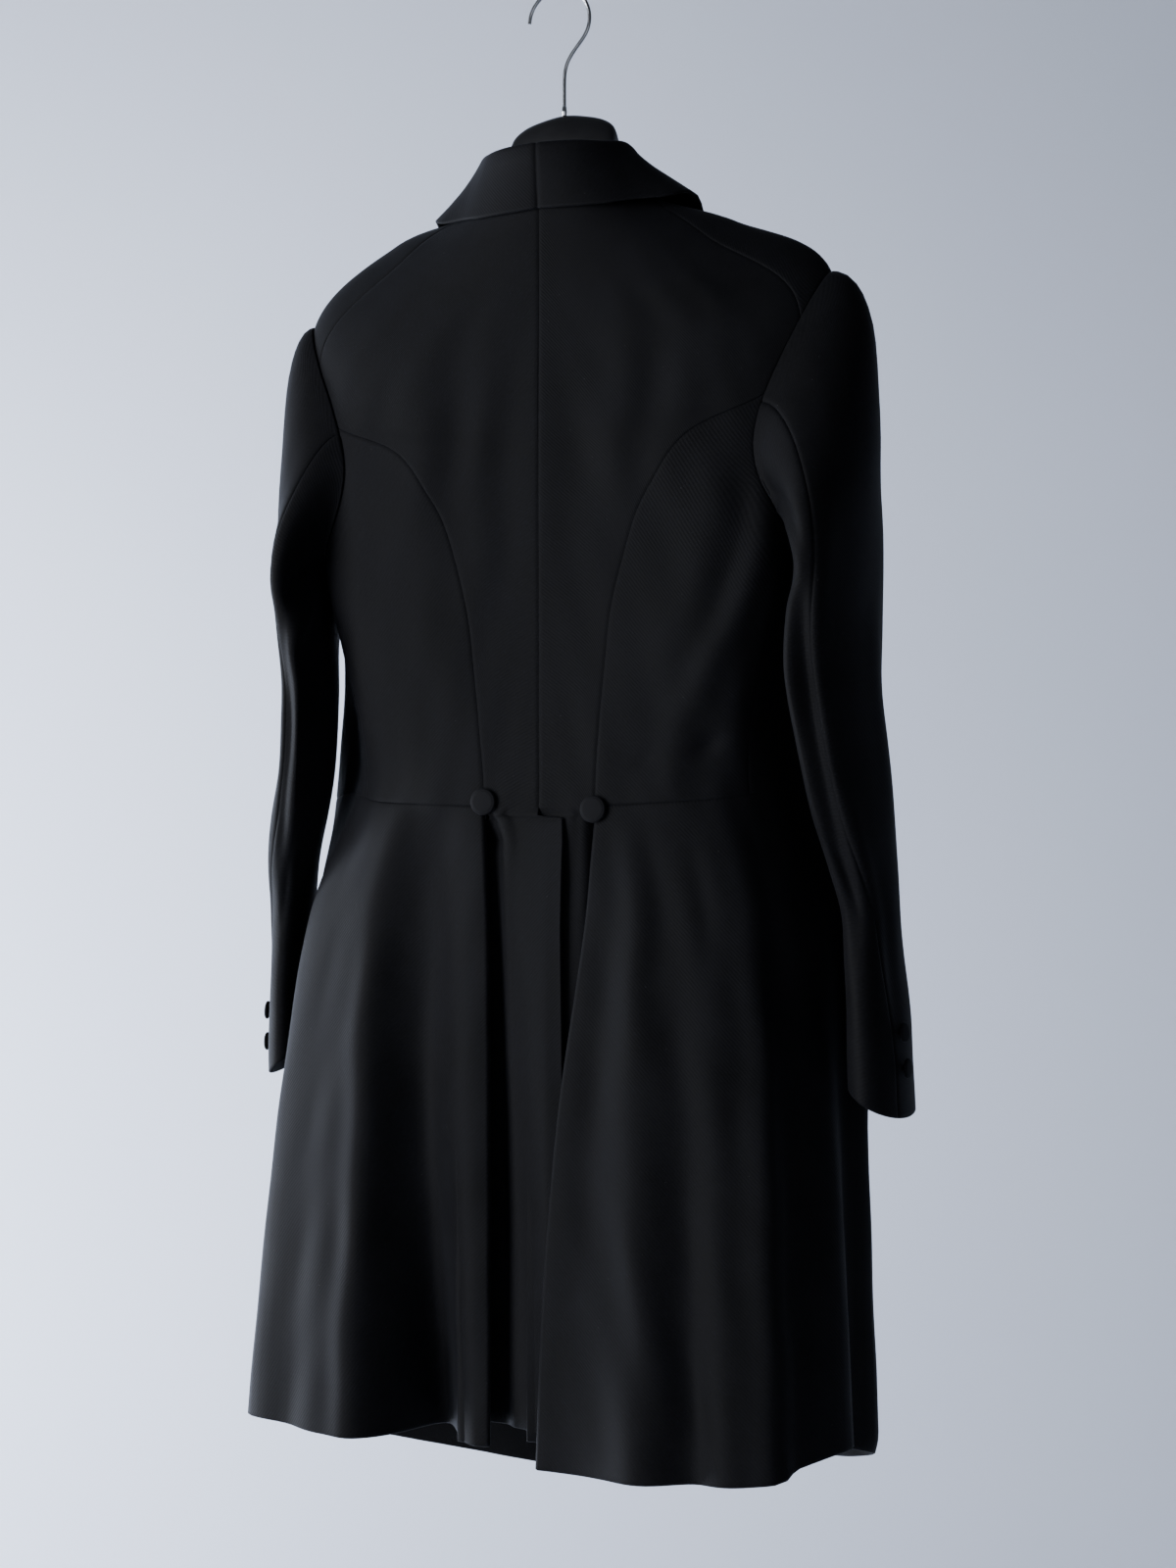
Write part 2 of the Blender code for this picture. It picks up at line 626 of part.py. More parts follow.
def seam_points(name, side):
    """Places and levels of a named seam of the body, always sampled the same way."""
    waist = float(WAIST_LEVEL)
    neck = float(NECK_LEVEL)
    side_back = side_back_seam(side, SEAM_ROWS)
    underarm = np.array(armhole(UNDERARM_START))
    shoulder_end = np.array(armhole(SHOULDER_SEAM_ARM))
    if name == "side back":
        return side_back
    if name == "side":
        return straight_seam(side, (UNDERARM_WAIST, waist), tuple(underarm), SEAM_ROWS)
    if name == "shoulder":
        middle = np.array(SHOULDER_SEAM_MIDDLE)
        return even_along(side, np.array((shoulder_end, middle, (SHOULDER_SEAM_NECK, neck))),
                          FRONT_COLUMNS)
    if name == "back armhole":
        return armhole_seam(SIDE_BACK_START, SHOULDER_SEAM_ARM, BACK_ARM_ROWS)
    if name == "side back armhole":
        return armhole_seam(SIDE_BACK_START, UNDERARM_START, SIDE_BACK_COLUMNS)
    if name == "front armhole":
        return np.stack(armhole(np.radians([row[0] for row in FRONT_RAYS])), axis=1)
    if name == "side back waist":
        return level_run(side_back[0, 0], UNDERARM_WAIST, waist, SIDE_BACK_COLUMNS)
    if name == "front waist":
        return level_run(UNDERARM_WAIST, 1.0, waist, FRONT_COLUMNS)
    if name == "back neck":
        return level_run(0.0, SHOULDER_SEAM_NECK, neck, BACK_COLUMNS)
    raise ValueError(name)


def level_run(start, end, level, count):
    """Places between two places of one level."""
    return np.stack((np.linspace(start, end, count), np.full(count, level)), axis=1)


def armhole_seam(start, end, count):
    """Places and levels along the armhole between two angles."""
    return np.stack(armhole(np.linspace(start, end, count)), axis=1)


def front_edge():
    """End of each row of the front: up the edge, up the roll line, round the neck."""
    low = np.linspace(WAIST_LEVEL, FRONT_RAYS[0][1], SEAM_ROWS)
    level = np.concatenate((low, [row[1] for row in FRONT_RAYS[1:]]))
    round_neck = np.clip(level - NECK_LEVEL, 0, 1)
    rolled = smooth_through([row[0] for row in ROLL_LINE], [row[1] for row in ROLL_LINE], level)
    around = rolled + (SHOULDER_SEAM_NECK - ROLL_LINE[-1][1]) * round_neck
    return np.stack((around, np.minimum(level, NECK_LEVEL)), axis=1)


def back_places(side):
    """Places of the back panel: level rows from the centre back out to its seams."""
    outer = np.concatenate((seam_points("side back", side), seam_points("back armhole", side)[1:],
                            seam_points("shoulder", side)[1:]))
    share = np.linspace(0, 1, BACK_COLUMNS)[None, :]
    around = outer[:, :1] * share
    return np.stack((around, np.repeat(outer[:, 1:], BACK_COLUMNS, axis=1)), axis=-1)


def side_back_places(side):
    """Places of the side back panel: its four seams are waist, side back, armhole and side."""
    low = seam_points("side back waist", side)
    high = seam_points("side back armhole", side)
    left = seam_points("side back", side)
    right = seam_points("side", side)
    return between_seams(low, high, left, right)


def front_places(side):
    """Places of the front panel: rows from the side seam and armhole to the front edge."""
    left = np.concatenate((seam_points("side", side), seam_points("front armhole", side)[1:]))
    right = front_edge()
    share = np.linspace(0, 1, FRONT_COLUMNS)[None, :, None]
    ruled = left[:, None] * (1 - share) + right[:, None] * share
    seam = seam_points("shoulder", side)
    weight = np.linspace(0, 1, len(left))[:, None, None] ** 6
    return ruled + weight * (seam - ruled[-1])[None]


def tail_section(side, drop, share):
    """Out and in of the centre tail across its width, below the waist seam."""
    rows = TAIL_ROWS[side]
    drops = [row[0] for row in rows]
    size = {name: straight_through(drops, [row[k] for row in rows], drop)
            for k, name in enumerate(TAIL_COLUMNS)}
    knots = (0.0, TAIL_FOLD_SHARE, 0.5 + TAIL_FOLD_SHARE / 2, 1.0)
    step_x = size["fold_x"] + (size["shelf_x"] - size["fold_x"]) * 0.25
    out = straight_through(knots, (-size["lap"], size["fold_x"], step_x, size["shelf_x"]), share)
    inward = straight_through(knots, (size["lap_in"], size["fold_in"], size["shelf_in"], size["shelf_in"]), share)
    return out, inward


def add_back(side, sign):
    """Back panel with its centre tail below, one piece of cloth."""
    places = back_places(side)
    upper = cloth(side, places[..., 0], places[..., 1])
    columns = BACK_COLUMNS
    drops = [row[0] for row in TAIL_ROWS[side][:3]]
    last = TAIL_ROWS[side][-1][0]
    drops += list(np.linspace(drops[-1], last, TAIL_LOW_ROWS)[1:])
    waist_z = upper[0, :, 2]
    share = np.linspace(0, 1, columns)
    lower = []
    for drop in reversed(drops):
        out, inward = tail_section(side, drop, share)
        lower.append(np.stack((out, inward, waist_z - drop), axis=1))
    points = np.concatenate((np.array(lower), upper))
    points = place_in_frame(points, sign)
    normals = grid_normals(points) * sign
    on_form = cloth_normal(side, places[..., 0], places[..., 1])
    normals[len(lower):] = frame_direction(on_form, sign)
    return add_wall("back_" + side, pull_back(points, ("first", "last", "high")), normals)


def frame_direction(vectors, sign):
    """A direction from (out, in, z) to X, Y, Z."""
    return np.stack((vectors[..., 0] * sign, -vectors[..., 1], vectors[..., 2]), axis=-1)


def panel_on_form(name, side, sign, places, edges):
    """A panel that lies wholly on the form, from its grid of places and levels."""
    points = place_in_frame(cloth(side, places[..., 0], places[..., 1]), sign)
    normals = frame_direction(cloth_normal(side, places[..., 0], places[..., 1]), sign)
    return add_wall(name, pull_back(points, edges), normals)


def skirt_columns(side):
    """Places round the skirt, the same as the panels above it at the waist seam."""
    first = seam_points("side back waist", side)[:, 0]
    second = seam_points("front waist", side)[:, 0]
    return np.concatenate((first, second[1:]))


def pleat_around(side, level):
    """Place round the ring of the pleat's folded edge at a level."""
    width = straight_through(range(len(PLEAT_EDGE[side])), PLEAT_EDGE[side], level)
    return around_at_width(side, width, np.asarray(level, float))


def skirt_grid(side):
    """Places and inward offsets of the skirt, from the pleat's return round to the front edge."""
    levels = np.linspace(0, WAIST_LEVEL, SKIRT_ROWS)
    top = skirt_columns(side)
    rows = []
    for level in levels:
        fold = float(pleat_around(side, level))
        share = (top - top[0]) / (top[-1] - top[0])
        rows.append(fold + (1.0 - fold) * share)
    around = np.array(rows)
    return around, np.repeat(levels[:, None], around.shape[1], axis=1)


def add_skirt(side, sign):
    """Skirt panel with its pleat turned under at the back."""
    around, level = skirt_grid(side)
    points = cloth(side, around, level)
    normals = cloth_normal(side, around, level)
    fold_point = points[:, :1]
    fold_normal = normals[:, :1]
    outward = unit(points[:, 1:2] - points[:, :1])
    turned = []
    for along, inside in PLEAT_TURN:
        turned.append(fold_point + outward * along - fold_normal * inside)
    grid = np.concatenate(turned + [points], axis=1)
    frame_points = place_in_frame(grid, sign)
    frame_normals = grid_normals(frame_points) * sign
    frame_normals[:, len(turned) + 1:] = frame_direction(normals[:, 1:], sign)
    return add_wall("skirt_" + side, pull_back(frame_points, ("high",)), frame_normals)


def add_lining(side, sign):
    """Lining inside the skirt's front, short of the hem, the waist and the front edge."""
    around, level = skirt_grid(side)
    around = around[:-1, -LINING_COLUMNS - 1:-1].copy()
    level = level[:-1, -LINING_COLUMNS - 1:-1].copy()
    points = cloth(side, around, level)
    rise = unit(points[1] - points[0])
    inside = cloth_normal(side, around, level)
    points = points - inside * LINING_INSET
    points[0] = points[0] + rise * LINING_ABOVE_HEM
    points[-1] = points[-1] - unit(points[-1] - points[-2]) * LINING_ABOVE_HEM
    return add_wall("skirt_lining_" + side, place_in_frame(points, sign), frame_direction(inside, sign),
                    "lining", LINING_WALL)


def sleeve_ring(side, row):
    """A function of angle that gives the sleeve's section at one height."""
    size = dict(zip(SLEEVE_COLUMNS, row))
    turn = math.radians(size["turn"])
    outward = np.array((math.cos(turn), -math.sin(turn), 0.0))
    rearward = np.array((-math.sin(turn), -math.cos(turn), 0.0))
    centre = np.array((size["centre_x"], size["centre_in"], size["z"]))
    lowest = row[0] == SLEEVE_ROWS[side][-1][0]

    def section(angle):
        angle = np.asarray(angle, float)
        across = size["half_thick"] * np.cos(angle)
        along = size["half_width"] * np.sin(angle)
        degrees = np.degrees(angle)
        dent = size["trough"] * np.exp(-((degrees - TROUGH_PLACE) / TROUGH_WIDTH) ** 2)
        along = along - dent
        points = centre + across[:, None] * outward + along[:, None] * rearward
        if lowest:
            points[:, 2] -= CUFF_TILT * np.cos(angle)
        return points

    return section


def hind_seam_angle(z):
    """Angle of the hind arm seam at a height."""
    heights = [row[0] for row in HIND_SEAM][::-1]
    angles = [row[1] for row in HIND_SEAM][::-1]
    return math.radians(straight_through(heights, angles, z))


def sleeve_angles(z):
    """Angles of the columns at a height: fore seam, over the top sleeve, hind seam, under sleeve."""
    fore = math.radians(FORE_SEAM)
    hind = hind_seam_angle(z)
    share = np.linspace(0, 1, SLEEVE_COLUMNS_EACH)
    return np.concatenate((fore + (hind - fore) * share, hind + (fore + math.tau - hind) * share[1:]))


def sleeve_loop(side):
    """Points (out, in, z) all round the sleeve, cuff row first; the last column repeats the first."""
    rings = list(SLEEVE_ROWS[side])
    rows = [sleeve_ring(side, row)(sleeve_angles(row[0])) for row in reversed(rings)]
    angle = sleeve_angles(rings[0][0])
    ring = rows[-1]
    next_ring = sleeve_ring(side, rings[1])(angle)
    around, level = armhole(angle)
    away = cloth_normal(side, around, level)
    start = cloth(side, around, level) + away * SLEEVE_STAND
    away = unit(away * HEAD_RISE + np.array((1.0, 0.0, -HEAD_DROP)))
    reach = np.linalg.norm(ring - start, axis=1, keepdims=True)
    down = unit(next_ring - ring)
    for t in np.linspace(1, 0, SLEEVE_HEAD_ROWS + 1)[1:]:
        from_start = ((2 * t ** 3 - 3 * t ** 2 + 1) * start
                      + (t ** 3 - 2 * t ** 2 + t) * away * reach * HEAD_FULLNESS[side])
        to_ring = (3 * t ** 2 - 2 * t ** 3) * ring + (t ** 3 - t ** 2) * down * reach
        rows.append(from_start + to_ring)
    return np.array(rows)


def sleeve_walls(side, sign):
    """Frame points and outward directions of the top and the under sleeve."""
    points = place_in_frame(sleeve_loop(side), sign)
    wrapped = np.concatenate((points[:, -2:-1], points, points[:, 1:2]), axis=1)
    normals = -grid_normals(wrapped)[:, 1:-1] * sign
    middle = SLEEVE_COLUMNS_EACH - 1
    return {"top": (points[:, :middle + 1], normals[:, :middle + 1]),
            "under": (points[:, middle:], normals[:, middle:])}


def add_sleeves(side, sign):
    """Top and under sleeve."""
    for piece, (points, normals) in sleeve_walls(side, sign).items():
        add_wall("sleeve_" + piece + "_" + side, pull_back(points, ("first", "last")), normals)


def neck_path(side):
    """Places and levels of the collar's seam: round the neck, then down the roll line."""
    rows = front_edge()
    break_row = SEAM_ROWS - 1 + BREAK_RAY
    return np.concatenate((seam_points("back neck", side), rows[break_row:][::-1][1:]))


def collar_grid(side):
    """Points (out, in, z) of the collar, from the centre back to the break."""
    path = neck_path(side)
    around = path[:, 0]
    level = path[:, 1]
    base = cloth(side, around, level)
    outward = cloth_normal(side, around, level)
    length = np.concatenate(([0.0], np.cumsum(np.linalg.norm(np.diff(base, axis=0), axis=1))))
    place = length / length[-1]
    size = {name: smooth_through([row[0] for row in COLLAR_ROWS], [row[k] for row in COLLAR_ROWS], place)
            for k, name in enumerate(COLLAR_COLUMNS)}
    tangent = unit(np.gradient(base, axis=0))
    tangent[0] = (1.0, 0.0, 0.0)
    # Away from the neck along the cloth, square to the neck seam, and the same in places and levels
    away = unit(np.cross(tangent, outward))
    step = 0.004
    by_around = (cloth(side, np.minimum(around + step, 1.0), level)
                 - cloth_past_centre(side, around - step, level)) / (2 * step)
    by_level = (base - cloth(side, around, level - step)) / step
    moves = np.array([np.linalg.lstsq(np.stack((u, v), axis=1), w, rcond=None)[0]
                      for u, v, w in zip(by_around, by_level, away)])
    # Where the stand is full the collar stands free of the cloth, and where it is low it lies on it
    full = np.clip(size["rise"] / COLLAR_FULL_STAND, 0, 1)[:, None]
    vertical = np.array((0.0, 0.0, 1.0))
    level_out = unit(np.cross(tangent, vertical))
    over = unit(level_out * full + outward * (1 - full))
    up = unit(vertical * full - away * (1 - full))
    top = base + np.stack((size["lean_x"], size["lean_in"], size["rise"]), axis=1)
    foot = base + unit(top - base) * COLLAR_SEAM_GAP
    radius = COLLAR_FOLD_RADIUS
    rows = [foot, (foot + top) / 2, top, top + up * radius * 0.9 + over * radius * 0.6,
            top + up * radius * 0.6 + over * radius * 1.8]
    lift = size["lift_" + side]
    start = top + over * radius * 2.2
    edge = None
    falls = []
    for share in (1.0, 0.8, 0.55, 0.3, 0.1):
        on_around = np.abs(around + moves[:, 0] * size["reach"] * share)
        on_level = level + moves[:, 1] * size["reach"] * share
        clear = (COLLAR_CLEAR + lift * share)[:, None]
        lying = cloth(side, on_around, on_level) + cloth_normal(side, on_around, on_level) * clear
        edge = lying if edge is None else edge
        hanging = start * (1 - share) + edge * share
        falls.append(hanging * full + lying * (1 - full))
    return np.stack(rows + falls[::-1], axis=1)


def add_collar(side, sign):
    """Shawl collar half: stand, fold and fall down to the break."""
    points = place_in_frame(collar_grid(side), sign)
    normals = grid_normals(points) * sign
    normals[0, :, 0] = 0.0
    normals = unit(normals)
    return add_wall("collar_" + side, pull_back(points, ("low",)), normals)


def turned_button(name, radius, thick, stalk, stalk_radius, finish):
    """A flat button with a soft edge, its back on the XY plane of its own frame."""
    edge = thick * 0.32
    steps = 3
    profile = [(0.0, thick + stalk)]
    for k in range(steps + 1):
        turn = math.radians(90 * (1 - k / steps))
        profile.append((radius - edge + edge * math.cos(turn), thick + stalk - edge + edge * math.sin(turn)))
    for k in range(1, steps):
        turn = math.radians(-90 * k / steps)
        profile.append((radius - edge + edge * math.cos(turn), stalk + edge + edge * math.sin(turn)))
    if stalk > 0:
        profile.append((stalk_radius, stalk))
        profile.append((stalk_radius, 0.0))
    else:
        profile.append((radius - edge, 0.0))
    profile.append((0.0, 0.0))
    mesh = bpy.data.meshes.new(name)
    edges = [(k, k + 1) for k in range(len(profile) - 1)]
    mesh.from_pydata([(x, 0.0, z) for x, z in profile], edges, [])
    item = bpy.data.objects.new(name, mesh)
    item.data.materials.append(finish_material(finish))
    bpy.data.collections["white_tie_tailcoat"].objects.link(item)
    turn = item.modifiers.new("turn", "SCREW")
    turn.steps = 14
    turn.render_steps = 14
    turn.use_merge_vertices = True
    turn.merge_threshold = 0.00001
    turn.use_smooth_shade = True
    return item


def seat_on(item, point, direction):
    """Stand an object on a point with its +Z along a direction."""
    item.location = Vector(point)
    item.rotation_mode = "QUATERNION"
    item.rotation_quaternion = Vector(direction).to_track_quat("Z", "Y")


def add_back_buttons():
    """The two covered buttons over the pleats."""
    for side, sign in SIDES:
        height = np.array([BACK_BUTTON_Z[side]])
        around = around_at_width(side, BACK_BUTTON_X, np.array([float(WAIST_LEVEL)]))
        level = level_at_height(side, around, height)
        direction = frame_direction(cloth_normal(side, around, level), sign)[0]
        point = place_in_frame(cloth(side, around, level), sign)[0]
        item = turned_button("back_button_" + side, BACK_BUTTON_RADIUS, BACK_BUTTON_THICK, 0.0, 0.0, "button")
        seat_on(item, point + direction * BACK_BUTTON_LIFT, direction)


def add_cuff_buttons():
    """Two buttons beside the hind seam of each cuff."""
    for side, sign in SIDES:
        points, normals = sleeve_walls(side, sign)["top"]
        for number, height in enumerate(CUFF_BUTTON_HEIGHTS, 1):
            column = SLEEVE_COLUMNS_EACH - 2
            heights = points[:, column, 2] - DATUM_Z
            point = np.array([np.interp(height, heights, points[:, column, k]) for k in range(3)])
            direction = unit(np.array([np.interp(height, heights, normals[:, column, k]) for k in range(3)]))
            name = "cuff_button_" + side + "_" + str(number)
            item = turned_button(name, CUFF_BUTTON_RADIUS, CUFF_BUTTON_THICK, CUFF_BUTTON_STALK,
                                 CUFF_BUTTON_STALK_RADIUS, "button")
            seat_on(item, point + direction * (WALL / 2 + 0.0003), direction)


def add_hanger():
    """Moulded hanger: oval sections from one end, over the neck dome, to the other."""
    half = [dict(zip(HANGER_COLUMNS, row)) for row in HANGER_ROWS]
    stations = [dict(row, x=-row["x"]) for row in half[:0:-1]] + half
    vertices = []
    for row in stations:
        middle = (row["top"] + row["low"]) / 2 - row["x"] * HANGER_TILT
        height = (row["top"] - row["low"]) / 2
        for k in range(HANGER_SECTION_POINTS):
            turn = math.tau * k / HANGER_SECTION_POINTS
            vertices.append((row["x"], row["y"] + row["half_thick"] * math.sin(turn),
                             middle + height * math.cos(turn) + DATUM_Z))
    faces = []
    count = HANGER_SECTION_POINTS
    for i in range(len(stations) - 1):
        for k in range(count):
            after = (k + 1) % count
            faces.append((i * count + k, i * count + after, (i + 1) * count + after, (i + 1) * count + k))
    faces.append(tuple(range(count))[::-1])
    faces.append(tuple((len(stations) - 1) * count + k for k in range(count)))
    mesh = bpy.data.meshes.new("hanger")
    mesh.from_pydata(vertices, [], faces)
    return finish_object("hanger", mesh, "plastic")


def hook_route():
    """Middle line of the hook's wire: up from the plug, out, and round over the top."""
    radius = HOOK_INNER + HOOK_WIRE
    centre = np.array((HOOK_CENTRE_X, -math.sqrt(HOOK_INNER ** 2 - HOOK_CENTRE_X ** 2)))

    def on_crook(turn):
        return centre + radius * np.array((-math.cos(turn), math.sin(turn)))

    stem = np.array((0.0, HOOK_STEM_TOP))
    points = [np.array((0.0, PLUG_TOP + SEAM_HALF_GAP * 1.5)), stem]
    first = on_crook(HOOK_START)
    reach = np.linalg.norm(first - stem) * 1.3
    rise = np.array((0.0, 1.0)) * reach
    along = np.array((math.sin(HOOK_START), math.cos(HOOK_START))) * reach
    for t in (0.2, 0.4, 0.6, 0.8):
        from_stem = (2 * t ** 3 - 3 * t ** 2 + 1) * stem + (t ** 3 - 2 * t ** 2 + t) * rise
        to_crook = (3 * t ** 2 - 2 * t ** 3) * first + (t ** 3 - t ** 2) * along
        points.append(from_stem + to_crook)
    steps = 15
    for k in range(steps + 1):
        points.append(on_crook(HOOK_START + (HOOK_END - HOOK_START) * k / steps))
    return points


def add_hook():
    """Steel wire hook."""
    curve = bpy.data.curves.new("hook", "CURVE")
    curve.dimensions = "3D"
    route = hook_route()
    line = curve.splines.new("POLY")
    line.points.add(len(route) - 1)
    for point, (x, z) in zip(line.points, route):
        point.co = (x, 0.0, z, 1.0)
    curve.bevel_depth = HOOK_WIRE
    curve.bevel_resolution = 2
    curve.use_fill_caps = True
    item = bpy.data.objects.new("hook", curve)
    curve.materials.append(finish_material("steel"))
    bpy.data.collections["white_tie_tailcoat"].objects.link(item)


def add_plug():
    """Short metal sleeve that holds the hook in the hanger."""
    low = HANGER_ROWS[0][1] + DATUM_Z + 0.0003
    bpy.ops.mesh.primitive_cylinder_add(vertices=20, radius=PLUG_RADIUS, depth=PLUG_TOP - low)
    item = bpy.context.active_object
    item.name = "hook_plug"
    item.data.name = "hook_plug"
    item.location = (0.0, 0.0, (PLUG_TOP + low) / 2)
    item.data.materials.append(finish_material("steel"))
    for owner in list(item.users_collection):
        owner.objects.unlink(item)
    bpy.data.collections["white_tie_tailcoat"].objects.link(item)


def main():
    """Build the coat and its hanger."""
    clear_scene()
    pieces = bpy.data.collections.new("white_tie_tailcoat")
    bpy.context.scene.collection.children.link(pieces)
    for side, sign in SIDES:
        add_back(side, sign)
        panel_on_form("side_back_" + side, side, sign, side_back_places(side), ("low", "high", "first", "last"))
        panel_on_form("front_" + side, side, sign, front_places(side), ("low", "high", "first"))
        add_skirt(side, sign)
        add_lining(side, sign)
        add_sleeves(side, sign)
        add_collar(side, sign)
    add_back_buttons()
    add_cuff_buttons()
    add_hanger()
    add_hook()
    add_plug()


main()
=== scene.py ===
# %% [markdown]
# # A full-dress coat on its hanger
# This lesson dresses a plain model of a man's black wool dress coat. The coat hangs open on a moulded
# hanger and is seen from behind. Two things make it look real: every panel is a thin curved sheet
# that meets its neighbours along true seams, and the black wool answers soft side light with sheen.
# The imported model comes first, because each piece must lie where its plain solid lies.
# %% Load the plain model
import math

import bmesh
import bpy
import numpy as np
from mathutils import Matrix, Vector


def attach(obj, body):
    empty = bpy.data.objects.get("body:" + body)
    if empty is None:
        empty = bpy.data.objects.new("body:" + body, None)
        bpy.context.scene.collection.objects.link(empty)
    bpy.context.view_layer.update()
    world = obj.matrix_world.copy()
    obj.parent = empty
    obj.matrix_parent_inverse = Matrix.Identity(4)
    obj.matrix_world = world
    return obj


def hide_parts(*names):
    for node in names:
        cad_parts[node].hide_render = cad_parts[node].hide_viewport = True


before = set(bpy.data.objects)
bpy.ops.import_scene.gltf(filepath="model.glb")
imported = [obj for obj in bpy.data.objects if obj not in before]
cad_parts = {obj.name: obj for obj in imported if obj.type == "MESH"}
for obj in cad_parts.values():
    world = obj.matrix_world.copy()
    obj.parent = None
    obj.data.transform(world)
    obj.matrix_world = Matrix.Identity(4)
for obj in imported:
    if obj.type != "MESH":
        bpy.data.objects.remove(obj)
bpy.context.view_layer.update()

# %% [markdown]
# ## Sizes of the coat's form
# A tailor's stand has one smooth surface, and the panels are areas of it. Here that surface is a stack
# of half rings, one row each, from the hem up to the neck. A smooth curve through the rows gives every
# height between them. This is easier to change than a sculpted mesh: a row is a girth that can be
# measured on the real coat.
# %% Sizes of the form
# Cloth
WALL = 0.0018
SEAM_HALF_GAP = 0.0002

# Distance of the centre back seam behind the hook
BACK_Y = 0.050

# Heights in the tables are taken from this level, the middle of the hook's crook
DATUM_Z = -0.0155

# Places round a half ring where its shape is given
AROUND_KNOTS = (-0.3, 0.0, 0.3, 0.5, 0.7, 1.0)
REAR_RISE = 0.35
FORE_RISE = 0.40

# Each ring: heights at the back, side and front, then points given as the distance out from the
# centre line and the distance forward of the centre back seam.
RING_COLUMNS = ("z_back", "z_side", "z_front", "back_in", "rear_x", "rear_in", "side_x", "side_in",
                "fore_x", "fore_in", "edge_x", "edge_in")
# The far front hem on the wearer's right hangs a little higher than in the plain model.
SKIRT_RINGS = {
    "left": (
        (-1.050, -1.054, -1.118, 0.000, 0.164, -0.008, 0.254, 0.036, 0.232, 0.160, 0.080, 0.208),
        (-0.930, -0.930, -0.935, 0.000, 0.159, -0.006, 0.243, 0.038, 0.224, 0.148, 0.072, 0.192),
        (-0.800, -0.800, -0.800, 0.000, 0.152, -0.003, 0.228, 0.040, 0.206, 0.128, 0.062, 0.176),
        (-0.680, -0.672, -0.680, 0.000, 0.142, 0.003, 0.208, 0.042, 0.212, 0.116, 0.052, 0.166),
    ),
    "right": (
        (-1.060, -1.043, -1.091, -0.014, 0.158, -0.024, 0.212, 0.066, 0.200, 0.156, 0.084, 0.205),
        (-0.930, -0.930, -0.935, -0.013, 0.155, -0.018, 0.208, 0.062, 0.198, 0.144, 0.076, 0.190),
        (-0.800, -0.800, -0.800, -0.011, 0.150, -0.010, 0.200, 0.058, 0.200, 0.128, 0.064, 0.175),
        (-0.680, -0.672, -0.680, -0.004, 0.140, -0.001, 0.190, 0.054, 0.205, 0.118, 0.052, 0.166),
    ),
}
BODY_RINGS = (
    (-0.588, -0.575, -0.584, 0.000, 0.126, 0.008, 0.174, 0.054, 0.208, 0.112, 0.044, 0.158),
    (-0.530, -0.525, -0.528, 0.000, 0.132, 0.006, 0.170, 0.052, 0.203, 0.110, 0.038, 0.156),
    (-0.470, -0.468, -0.470, 0.000, 0.145, 0.003, 0.179, 0.050, 0.192, 0.110, 0.030, 0.156),
    (-0.410, -0.414, -0.412, 0.000, 0.158, 0.004, 0.188, 0.048, 0.186, 0.110, 0.022, 0.156),
    (-0.345, -0.330, -0.350, 0.000, 0.153, 0.004, 0.196, 0.048, 0.176, 0.106, 0.016, 0.150),
    (-0.275, -0.2160, -0.290, 0.000, 0.150, 0.008, 0.2030, 0.047, 0.150, 0.098, 0.014, 0.136),
    (-0.212, -0.1800, -0.245, 0.000, 0.095, 0.010, 0.135, 0.047, 0.105, 0.086, 0.012, 0.116),
    (-0.154, -0.1510, -0.215, 0.000, 0.048, 0.010, 0.074, 0.046, 0.060, 0.078, 0.010, 0.096),
)
# The coat hangs a little askew: how much higher each shoulder's side lies at a level of the form
SHOULDER_LIFT = {
    "left": {9: -0.0022, 10: 0.0170},
    "right": {9: 0.0028, 10: 0.0090},
}
WAIST_LEVEL = 4
NECK_LEVEL = 11
# Soft folds of the skirt and body: place round the ring at the top and the bottom, half width
# there, and how far they stand out (troughs are negative) at the top and the bottom level.
FOLD_COLUMNS = ("side", "around_top", "around_low", "half_width", "level_top", "level_low",
                "rise_top", "rise_low")
FOLDS = (
    ("left", 0.190, 0.162, 0.046, 4.0, 0.0, 0.000, -0.068),
    ("left", 0.310, 0.315, 0.045, 4.0, 0.0, 0.000, 0.010),
    ("left", 0.560, 0.550, 0.050, 4.0, 0.0, 0.000, -0.018),
    ("right", 0.215, 0.225, 0.035, 4.0, 0.0, 0.000, -0.012),
    ("right", 0.140, 0.150, 0.040, 4.0, 0.0, 0.000, 0.008),
    ("right", 0.360, 0.350, 0.030, 4.0, 0.0, 0.000, 0.006),
    ("right", 0.570, 0.580, 0.050, 4.0, 0.0, 0.000, -0.018),
)
print("rings", len(BODY_RINGS) + len(SKIRT_RINGS["left"]), "large folds", len(FOLDS))

# %% [markdown]
# ## Sizes of seams, tails, pleats, sleeves and collar
# A dress coat is shaped by its seams: the curved side-back seams take in the waist, and the pleats
# below the two back buttons let the skirt swing. Each seam is a short table of where it runs.
# %% Sizes of the seams
# Armhole, an oval in places round the ring and levels
ARMHOLE_AROUND = 0.50
ARMHOLE_REAR = 0.185
ARMHOLE_FRONT = 0.170
ARMHOLE_LEVEL = 8.0
ARMHOLE_TOP = 1.0
ARMHOLE_LOW = 0.96

